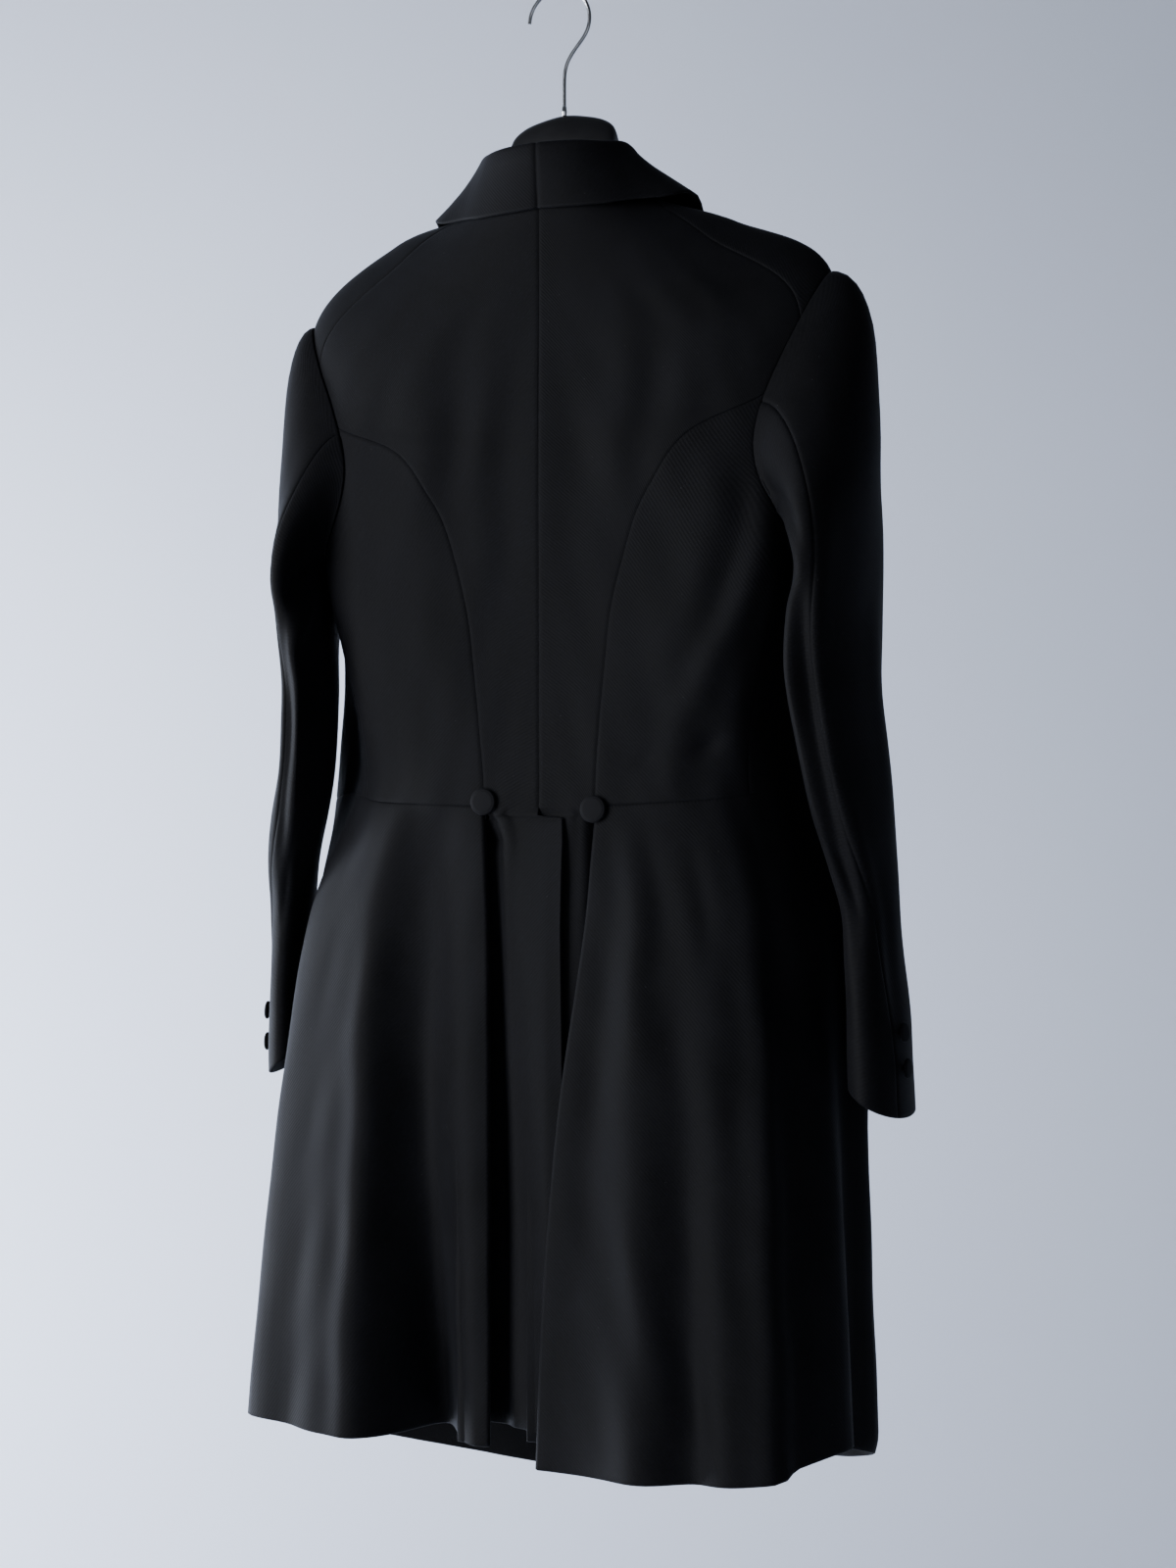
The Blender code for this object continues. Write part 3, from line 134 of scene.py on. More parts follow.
# Seams of the back, as distance out from the centre line at a height
SIDE_BACK_SEAM = (
    (-0.588, 0.0430),
    (-0.5035, 0.0490),
    (-0.440, 0.0570),
    (-0.393, 0.0700),
    (-0.360, 0.0860),
    (-0.325, 0.1150),
)
SIDE_BACK_START = math.radians(66)
UNDERARM_START = math.radians(140)
UNDERARM_WAIST = 0.385
SHOULDER_SEAM_ARM = math.radians(36)
SHOULDER_SEAM_MIDDLE = (0.385, 9.9)
SHOULDER_SEAM_NECK = 0.42
# Front edge above the break: level and place round the ring
ROLL_LINE = (
    (5.0, 1.000),
    (6.0, 0.968),
    (7.0, 0.942),
    (8.0, 0.915),
    (9.0, 0.880),
    (10.0, 0.810),
    (11.0, 0.640),
)

# Centre tails: drop below the waist seam, then for each side how far the centre edge laps past
# the centre, how far in it lies, the fold at the pleat, and the shelf behind the pleat
TAIL_COLUMNS = ("drop", "lap", "lap_in", "fold_x", "fold_in", "shelf_x", "shelf_in")
TAIL_ROWS = {
    "left": (
        (0.006, -0.0003, -0.0034, 0.0340, -0.0010, 0.0394, 0.0004),
        (0.008, 0.0185, -0.0034, 0.0330, -0.0010, 0.0392, 0.0010),
        (0.024, 0.0190, -0.0034, 0.0280, -0.0010, 0.0380, 0.0075),
        (0.090, 0.0175, -0.0034, 0.0265, -0.0010, 0.0370, 0.0080),
        (0.230, 0.0190, -0.0034, 0.0250, -0.0010, 0.0358, 0.0080),
        (0.450, 0.0185, -0.0034, 0.0230, -0.0010, 0.0352, 0.0080),
    ),
    "right": (
        (0.006, -0.0003, 0.0040, 0.0360, 0.0010, 0.0394, 0.0016),
        (0.008, 0.0100, 0.0040, 0.0360, 0.0012, 0.0392, 0.0032),
        (0.024, 0.0100, 0.0040, 0.0350, 0.0030, 0.0385, 0.0090),
        (0.090, 0.0100, 0.0040, 0.0330, 0.0045, 0.0385, 0.0095),
        (0.230, 0.0100, 0.0040, 0.0330, 0.0045, 0.0385, 0.0095),
        (0.457, 0.0100, 0.0040, 0.0330, 0.0045, 0.0385, 0.0095),
    ),
}
TAIL_FOLD_SHARE = 0.72

# Folded edge of the skirt's pleat, as distance out at each level from the hem up to the waist
PLEAT_EDGE = {
    "left": (0.0375, 0.0380, 0.0385, 0.0402, 0.0440),
    "right": (0.0030, 0.0085, 0.0200, 0.0362, 0.0440),
}

# The part turned under at the pleat: how far back it runs, and how far inside it lies
PLEAT_RETURN = 0.0260
PLEAT_DEPTH = 0.0052

# Sleeves: height, centre out and forward, half width, half thickness, how far the front edge
# turns out, and the depth of the trough down the back of the arm
SLEEVE_COLUMNS = ("z", "centre_x", "centre_in", "half_width", "half_thick", "turn", "trough")
SLEEVE_ROWS = {
    "right": (
        (-0.430, 0.2120, 0.036, 0.066, 0.0180, 8, 0.000),
        (-0.460, 0.2110, 0.030, 0.064, 0.0190, 10, 0.008),
        (-0.500, 0.2110, 0.028, 0.060, 0.0200, 12, 0.014),
        (-0.545, 0.2150, 0.033, 0.057, 0.0200, 12, 0.014),
        (-0.590, 0.2200, 0.042, 0.051, 0.0195, 12, 0.012),
        (-0.630, 0.2250, 0.050, 0.042, 0.0175, 10, 0.009),
        (-0.665, 0.2290, 0.058, 0.036, 0.0155, 8, 0.004),
        (-0.700, 0.2300, 0.064, 0.041, 0.0160, 6, 0.002),
        (-0.745, 0.2320, 0.070, 0.046, 0.0180, 4, 0.000),
        (-0.795, 0.2330, 0.074, 0.047, 0.0190, 4, 0.000),
    ),
    "left": (
        (-0.430, 0.2050, 0.036, 0.066, 0.0140, 8, 0.000),
        (-0.460, 0.2040, 0.034, 0.064, 0.0140, 10, 0.006),
        (-0.500, 0.2035, 0.036, 0.060, 0.0145, 12, 0.010),
        (-0.545, 0.2080, 0.042, 0.056, 0.0150, 12, 0.010),
        (-0.590, 0.2190, 0.050, 0.051, 0.0170, 14, 0.008),
        (-0.630, 0.2320, 0.064, 0.044, 0.0160, 16, 0.004),
        (-0.665, 0.2410, 0.080, 0.038, 0.0150, 16, 0.000),
        (-0.700, 0.2470, 0.094, 0.042, 0.0150, 14, 0.000),
        (-0.740, 0.2520, 0.104, 0.046, 0.0160, 12, 0.000),
        (-0.785, 0.2550, 0.110, 0.047, 0.0170, 12, 0.000),
    ),
}
CUFF_TILT = 0.012
HIND_SEAM = ((-0.430, 70), (-0.590, 66), (-0.665, 42), (-0.720, 30), (-0.800, 24))
FORE_SEAM = -78
TROUGH_PLACE = 84
TROUGH_WIDTH = 22

# Collar: place along its seam, then the fold's rise over the seam, how far it leans out and forward
# of the seam, how far the fall reaches out over the cloth, and how far its edge lifts on each side
COLLAR_COLUMNS = ("place", "rise", "lean_x", "lean_in", "reach", "lift_left", "lift_right")
COLLAR_ROWS = (
    (0.00, 0.0387, 0.000, -0.001, 0.004, 0.0010, 0.0010),
    (0.12, 0.0380, -0.0125, 0.002, 0.010, 0.0015, 0.0040),
    (0.19, 0.0360, -0.021, -0.004, 0.026, 0.0030, 0.0090),
    (0.235, 0.0315, -0.024, -0.002, 0.030, 0.0035, 0.0095),
    (0.30, 0.0280, -0.014, -0.003, 0.038, 0.0040, 0.0070),
    (0.40, 0.0130, -0.006, 0.003, 0.052, 0.0035, 0.0040),
    (0.60, 0.0040, -0.003, 0.005, 0.060, 0.0030, 0.0030),
    (0.80, 0.0030, -0.002, 0.005, 0.054, 0.0020, 0.0020),
    (1.00, 0.0025, -0.001, 0.004, 0.010, 0.0010, 0.0010),
)
COLLAR_FULL_STAND = 0.030
COLLAR_FOLD_RADIUS = 0.0030
COLLAR_CLEAR = 0.0026
COLLAR_SEAM_GAP = 0.0012
# Rows of the front that start on the armhole: angle there in degrees, and where they end: a level
# of the front edge up to the neck's level 11, then on round the neck to the shoulder seam at 12
FRONT_RAYS = (
    (140, 4.50), (147, 5.00), (156, 5.70), (168, 6.35), (182, 6.85), (200, 7.25), (220, 7.60), (242, 7.95),
    (265, 8.35), (288, 8.80), (311, 9.50), (334, 10.3), (350, 11.0), (366, 11.33), (381, 11.67), (396, 12.0),
)
LINING_INSET = 0.0022
SLEEVE_STAND = 0.0018
HEAD_FULLNESS = {"left": 0.42, "right": 0.62}
HEAD_RISE = 0.45
HEAD_DROP = 0.25
print("front rays", len(FRONT_RAYS))

# %% Sizes of buttons, hanger and hook
# Buttons
BACK_BUTTON_RADIUS = 0.0098
BACK_BUTTON_THICK = 0.0036
BACK_BUTTON_X = 0.0425
BACK_BUTTON_Z = {"left": -0.5840, "right": -0.5900}
CUFF_BUTTON_RADIUS = 0.0072
CUFF_BUTTON_THICK = 0.0030
CUFF_BUTTON_STALK = 0.0022
CUFF_BUTTON_STALK_RADIUS = 0.0022
CUFF_BUTTON_HEIGHTS = (-0.747, -0.772)

# Hanger: distance out, top, bottom, half thickness, distance behind the hook
HANGER_ROWS = (
    (0.000, -0.0775, -0.150, 0.0125, 0.000),
    (0.018, -0.0800, -0.152, 0.0125, 0.000),
    (0.032, -0.0845, -0.156, 0.0120, 0.000),
    (0.040, -0.0920, -0.160, 0.0120, 0.000),
    (0.0425, -0.1080, -0.164, 0.0105, 0.001),
    (0.0475, -0.1320, -0.168, 0.0095, 0.002),
    (0.066, -0.1522, -0.176, 0.0120, 0.005),
    (0.085, -0.1621, -0.186, 0.0125, 0.007),
    (0.120, -0.1787, -0.202, 0.0130, 0.0075),
    (0.155, -0.1954, -0.220, 0.0138, 0.0075),
    (0.178, -0.2078, -0.230, 0.0145, 0.007),
    (0.190, -0.2175, -0.232, 0.0110, 0.006),
)

# Hook, in the part's own heights: wire half thickness, the crook's inner radius and its middle
HOOK_WIRE = 0.00145
HOOK_INNER = 0.0224
HOOK_CENTRE_X = 0.004
HOOK_STEM_TOP = -0.0670
HOOK_START = math.radians(-40)
HOOK_END = math.radians(178)
PLUG_RADIUS = 0.0018
PLUG_TOP = -0.0857
HANGER_TILT = 0.0015
LEFT = 1.0
RIGHT = -1.0
SIDES = (("left", LEFT), ("right", RIGHT))
print("hanger sections", len(HANGER_ROWS))

# %% [markdown]
# ## Creases that the hanging cloth takes
# Wool that hangs from the shoulders falls in soft flutes down the back, is drawn in at the waist and
# opens in long soft troughs in the skirt. Each crease is one row: where it starts and ends round the
# body and in height, how wide it is, and how far it stands out (or in) at its top, middle and foot.
# Listed rows were chosen over a simulation, because they keep each fold where the real one is.
# %% Table of creases
GIRTH = 0.40
CREASES = (
    # side, place round the body and height at the top, the same at the foot, half width, three rises
    # Upper back: soft flutes from the shoulder blades down to the waist
    ("left", 0.000, -0.225, 0.000, -0.470, 0.013, 0.0000, 0.0012, 0.0000),
    ("left", 0.180, -0.215, 0.165, -0.470, 0.017, 0.0000, 0.0024, 0.0000),
    ("left", 0.130, -0.215, 0.120, -0.420, 0.011, 0.0000, -0.0017, 0.0000),
    ("left", 0.088, -0.215, 0.080, -0.470, 0.012, 0.0000, 0.0018, 0.0000),
    ("left", 0.050, -0.240, 0.045, -0.480, 0.009, 0.0000, -0.0009, 0.0000),
    ("left", 0.260, -0.280, 0.235, -0.500, 0.016, 0.0000, -0.0014, 0.0000),
    ("left", 0.170, -0.420, 0.150, -0.550, 0.015, 0.0000, 0.0014, 0.0000),
    ("right", 0.000, -0.225, 0.000, -0.470, 0.013, 0.0000, 0.0012, 0.0000),
    ("right", 0.052, -0.240, 0.045, -0.450, 0.012, 0.0000, -0.0012, 0.0000),
    ("right", 0.158, -0.205, 0.085, -0.410, 0.014, 0.0000, 0.0027, 0.0000),
    ("right", 0.195, -0.215, 0.125, -0.380, 0.010, 0.0000, -0.0018, 0.0000),
    ("right", 0.250, -0.195, 0.165, -0.390, 0.013, 0.0003, 0.0022, 0.0000),
    ("right", 0.305, -0.195, 0.235, -0.310, 0.009, 0.0003, 0.0013, 0.0000),
    ("right", 0.265, -0.310, 0.190, -0.520, 0.020, 0.0000, 0.0038, 0.0000),
    ("right", 0.305, -0.330, 0.230, -0.510, 0.012, 0.0000, -0.0040, 0.0000),
    ("right", 0.340, -0.350, 0.230, -0.560, 0.014, 0.0000, 0.0054, 0.0006),
    # Drawn in at the waist
    ("right", 0.280, -0.535, 0.305, -0.555, 0.013, -0.0018, -0.0042, -0.0018),
    ("right", 0.165, -0.552, 0.195, -0.560, 0.010, -0.0006, -0.0013, -0.0006),
    ("right", 0.225, -0.560, 0.235, -0.585, 0.009, 0.0004, 0.0012, 0.0004),
    # Front of the chest, which hangs looser
    ("left", 0.700, -0.300, 0.760, -0.560, 0.020, 0.0000, 0.0035, 0.0000),
    ("left", 0.800, -0.330, 0.850, -0.570, 0.016, 0.0000, -0.0030, 0.0000),
    ("right", 0.690, -0.300, 0.740, -0.560, 0.020, 0.0000, 0.0035, 0.0000),
    ("right", 0.790, -0.330, 0.860, -0.570, 0.016, 0.0000, -0.0030, 0.0000),
    # Left skirt: a lit ridge at the hip, a broad hollow, then the flat panel beside the pleat
    ("left", 0.305, -0.610, 0.305, -1.060, 0.016, 0.0000, -0.0050, -0.0070),
    ("left", 0.180, -0.600, 0.160, -1.060, 0.018, 0.0000, 0.0150, 0.0080),
    ("left", 0.276, -0.595, 0.264, -1.060, 0.012, 0.0010, 0.0066, 0.0086),
    ("left", 0.228, -0.600, 0.220, -1.040, 0.012, -0.0008, -0.0036, -0.0024),
    ("left", 0.115, -0.640, 0.100, -1.060, 0.014, 0.0000, 0.0030, 0.0060),
    ("left", 0.360, -0.600, 0.370, -1.050, 0.016, 0.0000, -0.0026, -0.0040),
    ("left", 0.450, -0.600, 0.460, -1.050, 0.018, 0.0000, 0.0030, 0.0050),
    ("left", 0.640, -0.590, 0.650, -1.050, 0.020, 0.0000, 0.0045, 0.0070),
    ("left", 0.740, -0.590, 0.760, -1.060, 0.018, 0.0000, -0.0045, -0.0070),
    ("left", 0.850, -0.590, 0.860, -1.060, 0.020, 0.0000, 0.0036, 0.0050),
    # Right skirt: short flutes below the waist seam, a sharp turn at the side, slanting drags low down
    ("right", 0.128, -0.605, 0.070, -0.930, 0.010, -0.0006, -0.0028, -0.0010),
    ("right", 0.160, -0.605, 0.145, -0.800, 0.009, 0.0004, 0.0018, 0.0000),
    ("right", 0.190, -0.600, 0.180, -0.740, 0.008, -0.0004, -0.0016, 0.0000),
    ("right", 0.232, -0.600, 0.222, -0.880, 0.014, 0.0004, 0.0022, 0.0000),
    ("right", 0.268, -0.600, 0.258, -0.730, 0.008, -0.0003, -0.0017, 0.0000),
    ("right", 0.305, -0.620, 0.300, -0.980, 0.012, 0.0000, -0.0014, 0.0000),
    ("right", 0.345, -0.610, 0.348, -1.050, 0.011, 0.0006, 0.0042, 0.0046),
    ("right", 0.385, -0.620, 0.385, -1.050, 0.012, 0.0000, -0.0036, -0.0036),
    ("right", 0.085, -0.860, 0.160, -1.010, 0.010, 0.0000, -0.0030, -0.0008),
    ("right", 0.125, -0.850, 0.200, -1.010, 0.010, 0.0000, 0.0022, 0.0000),
    ("right", 0.175, -0.930, 0.250, -1.030, 0.010, 0.0000, -0.0022, -0.0008),
    ("right", 0.470, -0.620, 0.480, -1.050, 0.016, 0.0000, 0.0030, 0.0040),
    ("right", 0.640, -0.590, 0.650, -1.050, 0.020, 0.0000, 0.0045, 0.0070),
    ("right", 0.740, -0.590, 0.760, -1.060, 0.018, 0.0000, -0.0045, -0.0070),
    ("right", 0.850, -0.590, 0.860, -1.060, 0.020, 0.0000, 0.0036, 0.0050),
)
print("creases", len(CREASES))

# %% [markdown]
# ## From tables to a surface
# Numbers in a table make a soft surface only when the curve between them is smooth. A cubic curve
# that passes through every row is used here, first up the body and then round it. The creases are
# laid over that surface along its own outward direction, so a crease crosses a seam without a step.
# %% Smooth curves and the body form
def cubic_run(t, start, start_slope, end, end_slope):
    """Value at share t of a smooth run between two values with these slopes."""
    from_start = start * (2 * t ** 3 - 3 * t ** 2 + 1) + start_slope * (t ** 3 - 2 * t ** 2 + t)
    return from_start + (end * (3 * t ** 2 - 2 * t ** 3) + end_slope * (t ** 3 - t ** 2))


def smooth_through(knots, values, place):
    """Cubic curve through values at knots, read at each place (values: knots first)."""
    knots = np.asarray(knots, float)
    values = np.asarray(values, float)
    place = np.clip(np.asarray(place, float), knots[0], knots[-1])
    slopes = np.empty_like(values)
    wide = (knots[2:] - knots[:-2]).reshape((-1,) + (1,) * (values.ndim - 1))
    slopes[1:-1] = (values[2:] - values[:-2]) / wide
    slopes[0] = (values[1] - values[0]) / (knots[1] - knots[0])
    slopes[-1] = (values[-1] - values[-2]) / (knots[-1] - knots[-2])
    cell = np.clip(np.searchsorted(knots, place, side="right") - 1, 0, len(knots) - 2)
    step = knots[cell + 1] - knots[cell]
    t = (place - knots[cell]) / step
    shape = t.shape + (1,) * (values.ndim - 1)
    t = t.reshape(shape)
    step = step.reshape(shape)
    return cubic_run(t, values[cell], slopes[cell] * step, values[cell + 1], slopes[cell + 1] * step)


def ring_points(size):
    """The shape points of one half ring, with a mirrored one before the centre back."""
    z_rear = size["z_back"] + (size["z_side"] - size["z_back"]) * REAR_RISE
    z_fore = size["z_front"] + (size["z_side"] - size["z_front"]) * FORE_RISE
    return (
        (-size["rear_x"], size["rear_in"], z_rear),
        (0.0, size["back_in"], size["z_back"]),
        (size["rear_x"], size["rear_in"], z_rear),
        (size["side_x"], size["side_in"], size["z_side"]),
        (size["fore_x"], size["fore_in"], z_fore),
        (size["edge_x"], size["edge_in"], size["z_front"]),
    )


def all_rings(side):
    """Shape points of every ring of one side, with its shoulder raised."""
    rings = []
    for level, row in enumerate(SKIRT_RINGS[side] + BODY_RINGS):
        size = dict(zip(RING_COLUMNS, row))
        size["z_side"] += SHOULDER_LIFT[side].get(level, 0.0)
        rings.append(ring_points(size))
    return np.array(rings)


RINGS = {side: all_rings(side) for side in ("left", "right")}
LEVEL_KNOTS = np.arange(len(RINGS["left"]), dtype=float)


def form(side, around, level):
    """Points of the smooth form as (out, in, z) for arrays of places and levels."""
    around, level = np.broadcast_arrays(np.asarray(around, float), np.asarray(level, float))
    shape = around.shape
    around = around.ravel()
    level = level.ravel()
    controls = smooth_through(LEVEL_KNOTS, RINGS[side], level)
    knots = np.asarray(AROUND_KNOTS)
    cell = np.clip(np.searchsorted(knots, around, side="right") - 1, 1, len(knots) - 2)
    index = np.arange(len(around))
    here = controls[index, cell]
    after = controls[index, cell + 1]
    before = controls[index, cell - 1]
    beyond = controls[index, np.minimum(cell + 2, len(knots) - 1)]
    step = (knots[cell + 1] - knots[cell])[:, None]
    slope_here = (after - before) / (knots[cell + 1] - knots[cell - 1])[:, None]
    span = (knots[np.minimum(cell + 2, len(knots) - 1)] - knots[cell])[:, None]
    slope_after = (beyond - here) / span
    t = ((around - knots[cell])[:, None]) / step
    return cubic_run(t, here, slope_here * step, after, slope_after * step).reshape(shape + (3,))


def place_in_frame(points, sign):
    """From (out, in, z) of one side to the part's own X, Y, Z."""
    points = np.asarray(points, float)
    return np.stack((points[..., 0] * sign, BACK_Y - points[..., 1], points[..., 2] + DATUM_Z), axis=-1)


def frame_direction(vectors, sign):
    """A direction from (out, in, z) to X, Y, Z."""
    return np.stack((vectors[..., 0] * sign, -vectors[..., 1], vectors[..., 2]), axis=-1)


def unit(vectors):
    """Vectors at length one."""
    return vectors / np.maximum(np.linalg.norm(vectors, axis=-1, keepdims=True), 1e-12)


def fold_rise(side, around, level):
    """How far the soft folds stand out from the form."""
    total = np.zeros(np.broadcast(around, level).shape)
    for row in FOLDS:
        fold = dict(zip(FOLD_COLUMNS, row))
        if fold["side"] != side:
            continue
        share = (fold["level_top"] - level) / (fold["level_top"] - fold["level_low"])
        share = np.clip(share, 0.0, 1.0)
        centre = fold["around_top"] + (fold["around_low"] - fold["around_top"]) * share
        height = fold["rise_top"] + (fold["rise_low"] - fold["rise_top"]) * share
        total = total + height * np.exp(-((around - centre) / fold["half_width"]) ** 2)
    return total


def form_normal(side, around, level, step=0.004):
    """Outward direction of the smooth form, as (out, in, z)."""
    across = form(side, around + step, level) - form(side, np.maximum(around - step, 0.0), level)
    up = form(side, around, np.minimum(level + step, NECK_LEVEL)) - form(side, around, level - step)
    return unit(np.cross(across, up))


def laid_creases(rows, side, place, height, scale):
    """Summed rise of one side's creases, each along a line and fading away from it."""
    total = np.zeros(place.shape)
    for row in rows:
        if row[0] != side:
            continue
        start = np.array((row[1] * scale, row[2]))
        run = np.array((row[3] * scale, row[4])) - start
        share = np.clip(((place - start[0]) * run[0] + (height - start[1]) * run[1]) / (run @ run), 0, 1)
        away = np.hypot(place - start[0] - share * run[0], height - start[1] - share * run[1])
        total = total + smooth_through((0.0, 0.5, 1.0), row[6:9], share) * np.exp(-(away / row[5]) ** 2)
    return total


def crease_rise(side, around, height):
    """How far the small creases stand out, for places round the body and heights."""
    sway = 0.0014 * np.sin(height * 23 + around * 9) + 0.0007 * np.sin(height * 61 + 1.3)
    return laid_creases(CREASES, side, around * GIRTH + sway, height, GIRTH)


def slack(around, height):
    """The faint unevenness of hanging cloth, under a millimetre."""
    wave = np.sin(around * 41 + height * 23) * np.sin(height * 37 - around * 13 + 0.7)
    calm = np.clip((-0.19 - height) / 0.10, 0.05, 1.0)
    return (0.0004 * wave + 0.00015 * np.sin(around * 97 + height * 61)) * calm


def cloth(side, around, level):
    """Points of the cloth's middle surface: the form with its folds and creases."""
    around, level = np.broadcast_arrays(np.asarray(around, float), np.asarray(level, float))
    base = form(side, around, level)
    rise = fold_rise(side, around, level) + crease_rise(side, around, base[..., 2])
    rise = rise + slack(around, base[..., 2]) * np.clip(around * 20, 0, 1)
    return base + form_normal(side, around, level) * rise[..., None]


def cloth_past_centre(side, around, level):
    """The cloth, also a little past the centre back, where it is the mirror of this side."""
    points = cloth(side, np.abs(around), level)
    points[..., 0] *= np.where(around < 0, -1.0, 1.0)
    return points


def cloth_normal(side, around, level, step=0.004):
    """Outward direction of the folded cloth."""
    around, level = np.broadcast_arrays(np.asarray(around, float), np.asarray(level, float))
    high = np.minimum(around + step, 1.0)
    across = cloth(side, high, level) - cloth_past_centre(side, around - step, level)
    below = np.maximum(level - step, 0.0)
    above = np.minimum(level + step, NECK_LEVEL)
    up = cloth(side, around, above) - cloth(side, around, below)
    return unit(np.cross(across, up))


def by_halving(low, high, is_under):
    """The value between low and high where a test stops being true."""
    for _ in range(26):
        middle = (low + high) / 2
        under = is_under(middle)
        low = np.where(under, middle, low)
        high = np.where(under, high, middle)
    return (low + high) / 2


def level_at_height(side, around, height):
    """The level where the form reaches a height."""
    around = np.asarray(around, float)
    height = np.broadcast_to(np.asarray(height, float), around.shape)
    top = np.full(around.shape, float(NECK_LEVEL))
    return by_halving(np.zeros(around.shape), top, lambda level: form(side, around, level)[..., 2] < height)


def around_at_width(side, width, level):
    """The place round the back half ring where the form is this far out."""
    level = np.asarray(level, float)
    width = np.broadcast_to(np.asarray(width, float), level.shape)
    far = np.full(level.shape, 0.42)
    return by_halving(np.zeros(level.shape), far, lambda around: form(side, around, level)[..., 0] < width)


print("left hem girth", round(float(np.linalg.norm(np.diff(cloth("left", np.linspace(0, 1, 90), 0.0), axis=0),
                                                     axis=1).sum()), 3))

# %% [markdown]
# ## Seams as lines on the form
# A seam on a real coat is a line that two panels share. So each seam is worked out once, as places on
# the form, and both panels read it. Points are crowded near the seams, because that is where a pressed
# seam dips into the cloth and where the eye looks for it.
# %% Seam lines
SEAM_ROWS = 64
BACK_ARM_ROWS = 30
BACK_COLUMNS = 44
SIDE_BACK_COLUMNS = 40
FRONT_COLUMNS = 44
FRONT_RAY_ROWS = 76
TAIL_LOW_ROWS = 56
SKIRT_ROWS = 92


def spread(count):
    """Shares from 0 to 1, with extra points close to both ends."""
    near = np.array((0.0, 0.005, 0.011, 0.018))
    middle = np.linspace(0.030, 0.970, count - 8)
    return np.concatenate((near, middle, 1 - near[::-1]))


def armhole(angle):
    """Place and level on the armhole: 0 at the shoulder, a quarter turn at the rear."""
    angle = np.asarray(angle, float)
    rearward = np.sin(angle) > 0
    reach = np.where(rearward, ARMHOLE_REAR, ARMHOLE_FRONT)
    upper = np.cos(angle) > 0
    rise = np.where(upper, ARMHOLE_TOP, ARMHOLE_LOW)
    return ARMHOLE_AROUND - reach * np.sin(angle), ARMHOLE_LEVEL + rise * np.cos(angle)


def side_back_seam(side, count):
    """Places and levels of the curved seam from the waist up to the armhole."""
    heights = [row[0] for row in SIDE_BACK_SEAM]
    widths = [row[1] for row in SIDE_BACK_SEAM]
    level = level_at_height(side, np.full(len(heights), 0.1), heights)
    around = around_at_width(side, widths, level)
    for _ in range(4):
        level = level_at_height(side, around, heights)
        around = around_at_width(side, widths, level)
    level[0] = WAIST_LEVEL
    around[0] = around_at_width(side, widths[0], np.array(float(WAIST_LEVEL)))
    end_around, end_level = armhole(SIDE_BACK_START)
    points = np.stack((np.append(around, end_around), np.append(level, end_level)), axis=1)
    return even_along(side, points, count)


def even_along(side, points, count):
    """Spread count places by real length along a curve of places and levels."""
    dense = np.linspace(0, len(points) - 1, 400)
    curve = smooth_through(np.arange(len(points), dtype=float), points, dense)
    real = form(side, curve[:, 0], curve[:, 1])
    length = np.concatenate(([0.0], np.cumsum(np.linalg.norm(np.diff(real, axis=0), axis=1))))
    wanted = spread(count) * length[-1]
    return np.stack((np.interp(wanted, length, curve[:, 0]),
                     np.interp(wanted, length, curve[:, 1])), axis=1)


def straight_seam(side, start, end, count):
    """Places and levels along a plain seam between two points of the form."""
    return even_along(side, np.array([start, ((start[0] + end[0]) / 2, (start[1] + end[1]) / 2), end]), count)


def front_rays():
    """Angle on the armhole and end of each ray of the front, read finely from the table."""
    place = spread(FRONT_RAY_ROWS) * (len(FRONT_RAYS) - 1)
    return smooth_through(np.arange(len(FRONT_RAYS), dtype=float), FRONT_RAYS, place)


def level_run(start, end, level, count):
    """Places between two places of one level."""
    around = start + (end - start) * spread(count)
    return np.stack((around, np.full(count, level)), axis=1)


def armhole_seam(start, end, count):
    """Places and levels along the armhole between two angles."""
    return np.stack(armhole(start + (end - start) * spread(count)), axis=1)


def edge_places(level):
    """The front edge: straight up to the break, then the roll line, then round the neck at 11 to 12."""
    rolled = smooth_through([row[0] for row in ROLL_LINE], [row[1] for row in ROLL_LINE], level)
    round_neck = np.clip(level - NECK_LEVEL, 0, 1)
    around = rolled + (SHOULDER_SEAM_NECK - ROLL_LINE[-1][1]) * round_neck
    return np.stack((around, np.minimum(level, NECK_LEVEL)), axis=1)


def seam_points(name, side):
    """Places and levels of a named seam of the body."""
    waist = float(WAIST_LEVEL)
    neck = float(NECK_LEVEL)
    side_back = side_back_seam(side, SEAM_ROWS)
    underarm = np.array(armhole(UNDERARM_START))
    shoulder_end = np.array(armhole(SHOULDER_SEAM_ARM))
    if name == "side back":
        return side_back
    if name == "side":
        return straight_seam(side, (UNDERARM_WAIST, waist), tuple(underarm), SEAM_ROWS)
    if name == "shoulder":
        middle = np.array(SHOULDER_SEAM_MIDDLE)
        return even_along(side, np.array((shoulder_end, middle, (SHOULDER_SEAM_NECK, neck))),
                          FRONT_COLUMNS)
    if name == "back armhole":
        return armhole_seam(SIDE_BACK_START, SHOULDER_SEAM_ARM, BACK_ARM_ROWS)
    if name == "side back armhole":
        return armhole_seam(SIDE_BACK_START, UNDERARM_START, SIDE_BACK_COLUMNS)
    if name == "front armhole":
        return np.stack(armhole(np.radians(front_rays()[:, 0])), axis=1)
    if name == "side back waist":
        return level_run(side_back[0, 0], UNDERARM_WAIST, waist, SIDE_BACK_COLUMNS)
    return level_run(UNDERARM_WAIST, 1.0, waist, FRONT_COLUMNS)


print("side back seam points", len(seam_points("side back", "left")))

